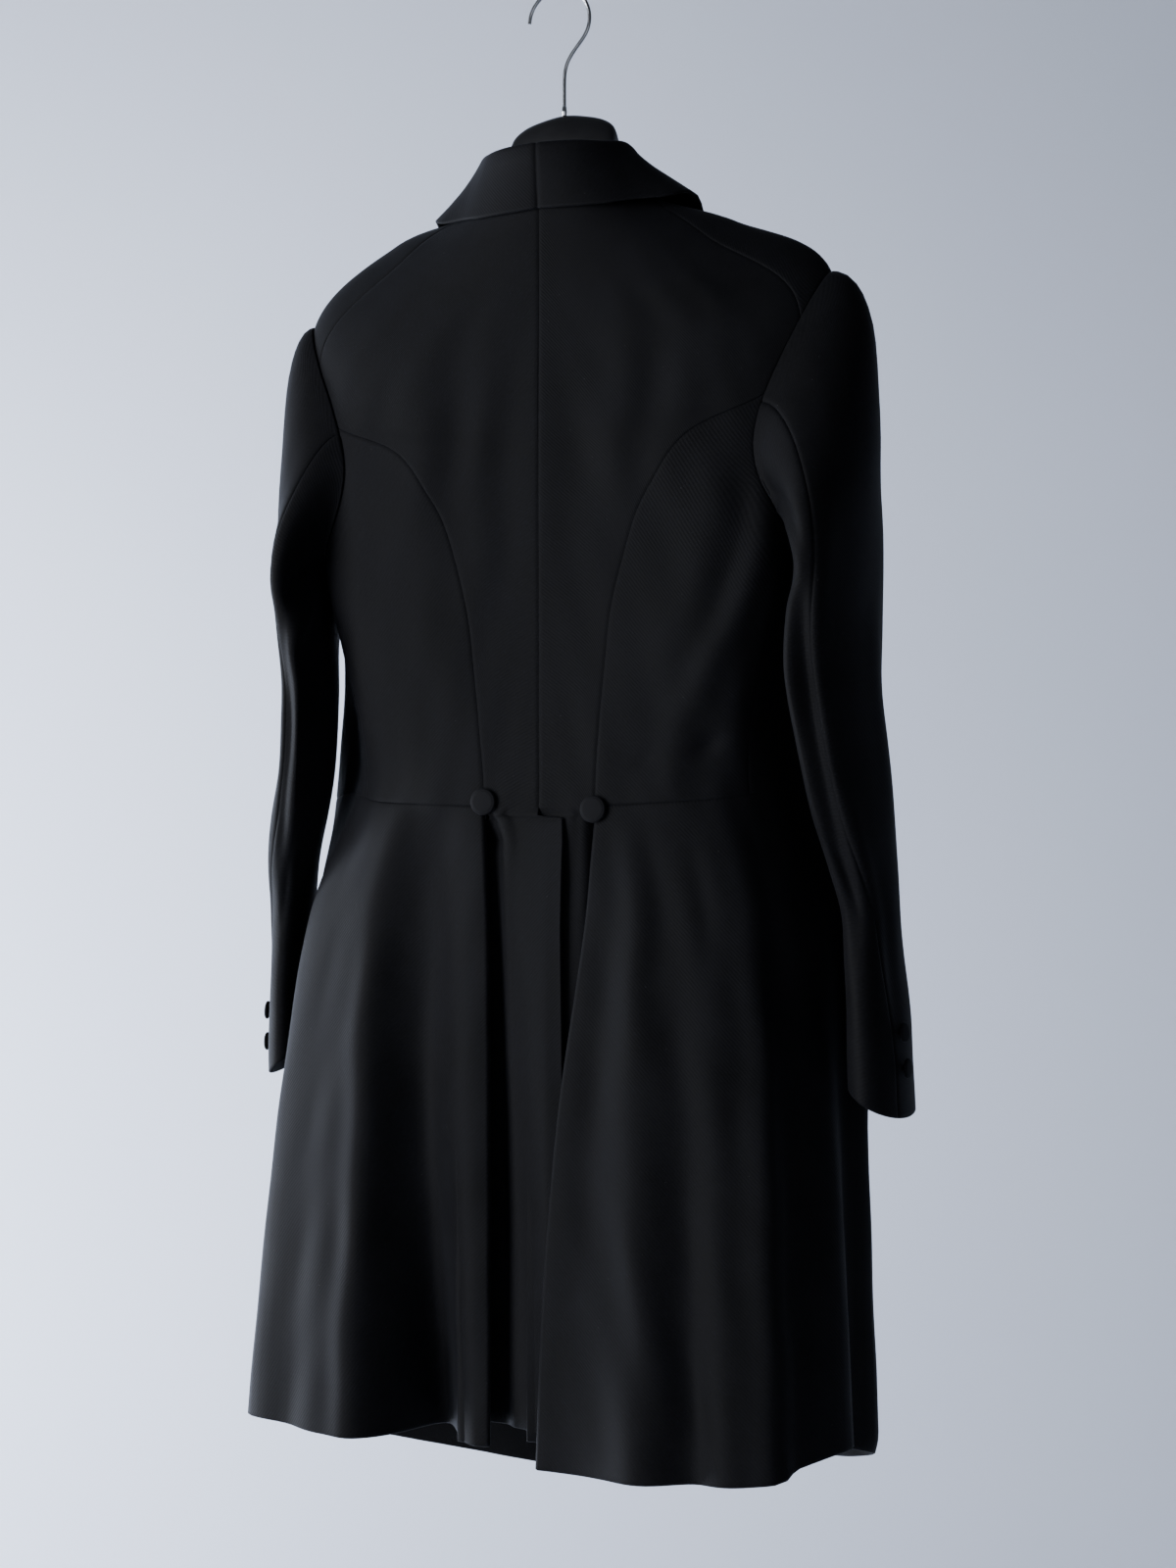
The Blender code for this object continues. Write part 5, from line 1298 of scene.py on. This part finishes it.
def make_hanger():
    """Moulded hanger with a tall neck and a fine parting line along its top."""
    half = np.array(HANGER_ROWS)
    table = np.concatenate((half[:0:-1] * (-1, 1, 1, 1, 1), half))
    index = np.linspace(0, len(table) - 1, HANGER_STEPS)
    rows = smooth_through(np.arange(len(table), dtype=float), table, index)
    end = np.minimum(np.arange(HANGER_STEPS), np.arange(HANGER_STEPS)[::-1])
    shrink = np.clip((end + 0.3) / 3.0, 0, 1) ** 0.5
    vertices = []
    for (x, top, low, thick, y), small in zip(rows, shrink):
        middle = (top + low) / 2 - x * HANGER_TILT
        height = (top - low) / 2 * small
        for k in range(HANGER_AROUND):
            turn = math.tau * k / HANGER_AROUND
            ridge = 1 + 0.02 * math.exp(-(math.sin(turn) / 0.08) ** 2) * (math.cos(turn) > 0)
            level = middle + height * ridge * math.cos(turn) + DATUM_Z
            vertices.append((x, y + thick * small * math.sin(turn), level))
    faces = []
    for i in range(HANGER_STEPS - 1):
        for k in range(HANGER_AROUND):
            after = (k + 1) % HANGER_AROUND
            a = i * HANGER_AROUND
            faces.append((a + k, a + after, a + HANGER_AROUND + after, a + HANGER_AROUND + k))
    faces.append(tuple(range(HANGER_AROUND))[::-1])
    faces.append(tuple((HANGER_STEPS - 1) * HANGER_AROUND + k for k in range(HANGER_AROUND)))
    mesh = bpy.data.meshes.new("moulded_hanger")
    mesh.from_pydata(vertices, [], faces)
    add_piece("moulded_hanger", mesh, "hanger")
    print("hanger", len(faces), "faces")


make_hanger()

# %% Hook and its metal sleeve
def hook_route():
    """Middle line of the hook's wire: up from the plug, out, and round over the top."""
    radius = HOOK_INNER + HOOK_WIRE
    centre = np.array((HOOK_CENTRE_X, -math.sqrt(HOOK_INNER ** 2 - HOOK_CENTRE_X ** 2)))

    def on_crook(turn):
        return centre + radius * np.array((-math.cos(turn), math.sin(turn)))

    stem = np.array((0.0, HOOK_STEM_TOP))
    points = [np.array((0.0, PLUG_TOP + SEAM_HALF_GAP * 1.5)), stem]
    first = on_crook(HOOK_START)
    reach = np.linalg.norm(first - stem) * 1.3
    rise = np.array((0.0, 1.0)) * reach
    along = np.array((math.sin(HOOK_START), math.cos(HOOK_START))) * reach
    for t in (0.2, 0.4, 0.6, 0.8):
        points.append(cubic_run(t, stem, rise, first, along))
    steps = 15
    for k in range(steps + 1):
        points.append(on_crook(HOOK_START + (HOOK_END - HOOK_START) * k / steps))
    return points


def make_hook():
    """Polished wire hook, round in section, on the same line as the plain one."""
    route = np.array([tuple(p) for p in hook_route()])
    index = np.arange(len(route), dtype=float)
    fine = smooth_through(index, route, np.linspace(0, index[-1], 110))
    curve = bpy.data.curves.new("wire_hook", "CURVE")
    curve.dimensions = "3D"
    line = curve.splines.new("POLY")
    line.points.add(len(fine) - 1)
    for point, (x, z) in zip(line.points, fine):
        point.co = (x, 0.0, z, 1.0)
    curve.bevel_depth = HOOK_WIRE
    curve.bevel_resolution = 5
    curve.use_fill_caps = True
    line_object = bpy.data.objects.new("wire_hook_line", curve)
    bpy.context.scene.collection.objects.link(line_object)
    mesh = bpy.data.meshes.new_from_object(line_object.evaluated_get(bpy.context.evaluated_depsgraph_get()))
    bpy.data.objects.remove(line_object, do_unlink=True)
    add_piece("wire_hook", mesh, "hook")
    low = HANGER_ROWS[0][1] + DATUM_Z + 0.0003
    high = PLUG_TOP
    r = PLUG_RADIUS
    profile = [(0.0, high), (r * 0.8, high), (r, high - 0.0003), (r, high - 0.0030),
               (r * 1.12, high - 0.0033), (r * 1.12, high - 0.0042), (r, high - 0.0045),
               (r, low + 0.0003), (r * 0.9, low), (0.0, low)]
    add_piece("hook_sleeve", turned("hook_sleeve", profile, PLUG_STEPS), "hook_plug")
    print("hook points", len(fine))


make_hook()

# %% Stitches at the head of the vent
STITCH_LENGTH = 0.0026
STITCH_PITCH = 0.0032
STITCH_RADIUS = 0.00016


def stitch_row(name, start, end):
    """A row of small stitches between two points, standing just proud of the cloth."""
    start = np.array(start)
    run = np.array(end) - start
    count = int(np.linalg.norm(run) / STITCH_PITCH)
    along = unit(run)
    turn = Vector(along).to_track_quat("Z", "Y").to_matrix().to_4x4()
    stretch = Matrix.Diagonal((1, 1, STITCH_LENGTH / 2 / STITCH_RADIUS, 1))
    work = bmesh.new()
    for k in range(count):
        middle = start + along * (k + 0.5) * STITCH_PITCH
        place = Matrix.Translation(Vector(middle)) @ turn @ stretch
        bmesh.ops.create_icosphere(work, subdivisions=2, radius=STITCH_RADIUS, matrix=place)
    mesh = bpy.data.meshes.new(name)
    work.to_mesh(mesh)
    work.free()
    print(name, count, "stitches")
    add_piece(name, mesh, None)


VENT_HEAD_Z = BODY_RINGS[0][0] - TAIL_ROWS["left"][1][0] + DATUM_Z
vent_y = BACK_Y - TAIL_ROWS["left"][1][2] + WALL / 2 + 0.0001
stitch_z = VENT_HEAD_Z - 0.0022
stitch_row("stitches_vent_head", (0.012, vent_y, stitch_z), (-0.0165, vent_y, stitch_z))

# %% [markdown]
# ## Finishes
# The coat is worsted wool, a twill that is smooth but still matt: it takes almost no mirror light,
# and its raised fibres give a faint pale sheen at grazing angles. That sheen is what draws the folds
# of a black coat. The lining is a satin-weave viscose, smoother and with a stretched highlight. The
# hanger is moulded polystyrene with a fine grain. The hook is chromed steel wire.
# %% Colours and a node helper


def srgb(code):
    """A colour written as hex, as linear values with alpha."""
    parts = [int(code[k:k + 2], 16) / 255 for k in (1, 3, 5)]
    return tuple(v / 12.92 if v <= 0.04045 else ((v + 0.055) / 1.055) ** 2.4 for v in parts) + (1.0,)


def node(tree, kind, settings=None, inputs=None, links=None):
    """Add a node, set its properties and sockets, and link sockets to it."""
    item = tree.nodes.new(kind)
    for name, value in (settings or {}).items():
        setattr(item, name, value)
    for name, value in (inputs or {}).items():
        item.inputs[name].default_value = value
    for name, socket in (links or {}).items():
        tree.links.new(socket, item.inputs[name])
    return item


def new_finish(name):
    """An empty material with its Principled surface."""
    material = bpy.data.materials.new(name)
    material.use_nodes = True
    return material, material.node_tree, material.node_tree.nodes["Principled BSDF"]


def dress_surface(tree, surface, links, values=None):
    """Link sockets to the Principled surface and set its plain values."""
    for name, socket in links.items():
        tree.links.new(socket, surface.inputs[name])
    for name, value in (values or {}).items():
        surface.inputs[name].default_value = value


# %% Worsted twill
TWILL_PITCH = 0.0013  # real twill lines are 0.4 mm apart, drawn coarser so that they still show


def worsted_twill(name, base, lint):
    """Black worsted: diagonal twill lines, uneven yarn and soft sheen."""
    material, tree, surface = new_finish(name)
    place = node(tree, "ShaderNodeTexCoord")
    lines = node(tree, "ShaderNodeTexWave", {"wave_type": "BANDS", "bands_direction": "DIAGONAL"},
                 {"Scale": 1 / TWILL_PITCH / 3.2, "Distortion": 0.6, "Detail": 1.0, "Detail Scale": 2.0},
                 {"Vector": place.outputs["UV"]})
    yarn = node(tree, "ShaderNodeTexNoise", None, {"Scale": 520.0, "Detail": 3.0, "Roughness": 0.7},
                {"Vector": place.outputs["UV"]})
    cloudy = node(tree, "ShaderNodeTexNoise", None, {"Scale": 16.0, "Detail": 4.0, "Roughness": 0.6},
                  {"Vector": place.outputs["Object"]})
    specks = node(tree, "ShaderNodeTexVoronoi", None, {"Scale": 70.0, "Randomness": 1.0},
                  {"Vector": place.outputs["Object"]})
    dust = node(tree, "ShaderNodeMapRange", None,
                {"From Min": 0.012, "From Max": 0.022, "To Min": lint, "To Max": 0.0},
                {"Value": specks.outputs["Distance"]})
    mottled = node(tree, "ShaderNodeMath", {"operation": "MULTIPLY_ADD"}, {1: 0.9},
                   {0: yarn.outputs["Fac"], 2: cloudy.outputs["Fac"]})
    contrast = node(tree, "ShaderNodeMapRange", None, {"From Min": 0.62, "From Max": 1.28},
                    {"Value": mottled.outputs["Value"]})
    tone = node(tree, "ShaderNodeMix", {"data_type": "RGBA"}, {"A": srgb(base), "B": srgb("#131316")},
                {"Factor": contrast.outputs["Result"]})
    dusty = node(tree, "ShaderNodeMix", {"data_type": "RGBA"}, {"B": srgb("#6a6a6c")},
                 {"A": tone.outputs["Result"], "Factor": dust.outputs["Result"]})
    height = node(tree, "ShaderNodeMath", {"operation": "MULTIPLY_ADD"}, {1: 0.5},
                  {0: yarn.outputs["Fac"], 2: lines.outputs["Fac"]})
    bump = node(tree, "ShaderNodeBump", None, {"Strength": 0.40, "Distance": 0.00020},
                {"Height": height.outputs["Value"]})
    rough = node(tree, "ShaderNodeMapRange", None, {"To Min": 0.62, "To Max": 0.78},
                 {"Value": cloudy.outputs["Fac"]})
    dress_surface(tree, surface, {"Base Color": dusty.outputs["Result"], "Roughness": rough.outputs["Result"],
                                  "Normal": bump.outputs["Normal"]},
                  {"Specular IOR Level": 0.12, "Sheen Weight": 0.06, "Sheen Roughness": 0.45,
                   "Sheen Tint": srgb("#a8adb8")})
    return material


wool = worsted_twill("black_worsted_twill", "#030304", 0.50)
button_wool = worsted_twill("button_cover_worsted", "#101012", 0.25)
print("wool", len(wool.node_tree.nodes), "nodes")

# %% Satin, plastic and chrome


def satin_lining():
    """Viscose satin: smooth floats along the cloth that stretch the highlight."""
    material, tree, surface = new_finish("black_viscose_satin")
    place = node(tree, "ShaderNodeTexCoord")
    stretched = node(tree, "ShaderNodeMapping", None, {"Scale": (1400.0, 60.0, 1.0)},
                     {"Vector": place.outputs["UV"]})
    floats = node(tree, "ShaderNodeTexNoise", None, {"Scale": 1.0, "Detail": 3.0},
                  {"Vector": stretched.outputs["Vector"]})
    bump = node(tree, "ShaderNodeBump", None, {"Strength": 0.15, "Distance": 0.00008},
                {"Height": floats.outputs["Fac"]})
    tone = node(tree, "ShaderNodeMix", {"data_type": "RGBA"}, {"A": srgb("#16161a"), "B": srgb("#26262c")},
                {"Factor": floats.outputs["Fac"]})
    dress_surface(tree, surface, {"Base Color": tone.outputs["Result"], "Normal": bump.outputs["Normal"]},
                  {"Roughness": 0.38, "Anisotropic": 0.4})
    return material


def moulded_plastic():
    """Black polystyrene with a fine spark-eroded grain and a few scuffs."""
    material, tree, surface = new_finish("moulded_polystyrene")
    place = node(tree, "ShaderNodeTexCoord")
    grain = node(tree, "ShaderNodeTexNoise", None, {"Scale": 1500.0, "Detail": 2.0},
                 {"Vector": place.outputs["Object"]})
    scuffs = node(tree, "ShaderNodeTexNoise", None, {"Scale": 45.0, "Detail": 6.0, "Roughness": 0.7},
                  {"Vector": place.outputs["Object"]})
    rough = node(tree, "ShaderNodeMapRange", None, {"To Min": 0.30, "To Max": 0.52},
                 {"Value": scuffs.outputs["Fac"]})
    tone = node(tree, "ShaderNodeMix", {"data_type": "RGBA"}, {"A": srgb("#0d0d0e"), "B": srgb("#1d1d20")},
                {"Factor": scuffs.outputs["Fac"]})
    bump = node(tree, "ShaderNodeBump", None, {"Strength": 0.12, "Distance": 0.0001},
                {"Height": grain.outputs["Fac"]})
    dress_surface(tree, surface, {"Base Color": tone.outputs["Result"], "Roughness": rough.outputs["Result"],
                                  "Normal": bump.outputs["Normal"]})
    return material


def chromed_wire():
    """Chromed steel wire with faint drawing marks along it."""
    material, tree, surface = new_finish("chromed_steel_wire")
    place = node(tree, "ShaderNodeTexCoord")
    marks = node(tree, "ShaderNodeTexNoise", None, {"Scale": 380.0, "Detail": 3.0},
                 {"Vector": place.outputs["Object"]})
    rough = node(tree, "ShaderNodeMapRange", None, {"To Min": 0.14, "To Max": 0.30},
                 {"Value": marks.outputs["Fac"]})
    tone = node(tree, "ShaderNodeMix", {"data_type": "RGBA"}, {"A": srgb("#b9bbbd"), "B": srgb("#d4d5d6")},
                {"Factor": marks.outputs["Fac"]})
    dress_surface(tree, surface, {"Base Color": tone.outputs["Result"], "Roughness": rough.outputs["Result"]},
                  {"Metallic": 1.0})
    return material


satin = satin_lining()
plastic = moulded_plastic()
chrome = chromed_wire()
FINISH_OF = (
    ("covered_button", button_wool),
    ("lining_satin", satin),
    ("moulded_hanger", plastic),
    ("wire_hook", chrome),
    ("hook_sleeve", chrome),
)
for item in made:
    found = [finish for start, finish in FINISH_OF if item.name.startswith(start)]
    item.data.materials.append(found[0] if found else wool)
print("finished", len(made), "pieces")

# %% [markdown]
# ## Light, backdrop and camera
# Black cloth shows only the light that slides along it. One large soft light stands to the left of the
# camera, a pale wall gives the outline, and only two weak lights reach the right side, so its folds sink
# into black. The camera looks level at the back from the wearer's right.
# %% Stage and light
VIEW_TURN = math.radians(22.0)
DISTANCE = 1.65
METRES_PER_PIXEL = 0.000704
CAMERA_Z = -0.6335
FRAME_ROWS = 1600
FRAME_SHIFT = (50, 66)
SENSOR = 36.0
WALL_AHEAD = 3.8
FLOOR_Z = -2.60
ahead = Vector((math.sin(VIEW_TURN), -math.cos(VIEW_TURN), 0.0))
rightward = Vector((-math.cos(VIEW_TURN), -math.sin(VIEW_TURN), 0.0))
target = Vector((0.0, BACK_Y, CAMERA_Z))


def facing(item, direction):
    """Turn a light or plane so that it looks along a direction."""
    item.rotation_mode = "QUATERNION"
    item.rotation_quaternion = direction.to_track_quat("-Z", "Y")


def add_panel(name, centre, direction, width, height, finish):
    """A plain flat panel for floor or wall, seen from all sides."""
    mesh = bpy.data.meshes.new(name)
    w = width / 2
    h = height / 2
    mesh.from_pydata([(-w, -h, 0), (w, -h, 0), (w, h, 0), (-w, h, 0)], [], [(0, 1, 2, 3)])
    item = bpy.data.objects.new(name, mesh)
    bpy.context.scene.collection.objects.link(item)
    item.location = centre
    facing(item, direction)
    mesh.materials.append(finish)
    return item


def add_light(name, place, aim, width, height, power, colour):
    """A large soft light aimed at a point."""
    lamp = bpy.data.lights.new(name, "AREA")
    lamp.shape = "RECTANGLE"
    lamp.size = width
    lamp.size_y = height
    lamp.energy = power
    lamp.color = srgb(colour)[:3]
    item = bpy.data.objects.new(name, lamp)
    bpy.context.scene.collection.objects.link(item)
    item.location = place
    facing(item, aim - place)
    return item


paint, paint_tree, paint_surface = new_finish("pale_wall_paint")
wall_place = node(paint_tree, "ShaderNodeTexCoord")
wall_tone = node(paint_tree, "ShaderNodeTexNoise", None, {"Scale": 0.8, "Detail": 1.0},
                 {"Vector": wall_place.outputs["Object"]})
wall_mix = node(paint_tree, "ShaderNodeMix", {"data_type": "RGBA"},
                {"A": srgb("#c9ced8"), "B": srgb("#d2d6df")}, {"Factor": wall_tone.outputs["Fac"]})
dress_surface(paint_tree, paint_surface, {"Base Color": wall_mix.outputs["Result"]}, {"Roughness": 0.9})
add_panel("pale_floor", Vector((0, 0, FLOOR_Z)), Vector((0, 0, -1)), 20.0, 20.0, paint)
add_panel("pale_wall", target + ahead * WALL_AHEAD, ahead, 20.0, 12.0, paint)
LIGHTS = (
    # name, metres right of the target, ahead of it and above it, width, height, watts, colour
    ("window_left", -2.15, -1.05, 0.05, 1.4, 2.2, 82.0, "#f4f7ff"),
    ("fill_behind", -1.5, -2.3, 0.3, 1.6, 1.2, 4.0, "#eef3ff"),
    ("fill_right", 0.9, -2.4, 0.2, 1.6, 1.2, 5.0, "#eef3ff"),
    ("wall_wash", -3.2, 1.6, -0.6, 2.0, 3.0, 520.0, "#e9f0ff"),
)
for name, right, forward, up, width, height, watts, colour in LIGHTS:
    aim = target + ahead * WALL_AHEAD - rightward * 1.0 if name == "wall_wash" else target
    place = target + rightward * right + ahead * forward + Vector((0, 0, up))
    add_light(name, place, aim, width, height, watts, colour)
world = bpy.data.worlds.new("soft_room")
world.use_nodes = True
world.node_tree.nodes["Background"].inputs["Color"].default_value = srgb("#cfd6e4")
world.node_tree.nodes["Background"].inputs["Strength"].default_value = 0.10
bpy.context.scene.world = world
print("lights", len(LIGHTS))

# %% Camera
camera = bpy.data.objects.new("camera", bpy.data.cameras.new("camera"))
bpy.context.scene.collection.objects.link(camera)
camera.location = target - ahead * DISTANCE
camera.rotation_euler = Matrix((rightward, Vector((0, 0, 1)), -ahead)).transposed().to_euler()
camera.data.sensor_fit = "VERTICAL"
camera.data.sensor_height = SENSOR
camera.data.lens = DISTANCE / METRES_PER_PIXEL * SENSOR / FRAME_ROWS
camera.data.shift_x = FRAME_SHIFT[0] / FRAME_ROWS
camera.data.shift_y = FRAME_SHIFT[1] / FRAME_ROWS
bpy.context.scene.camera = camera
print("camera lens", round(camera.data.lens, 1), "mm")
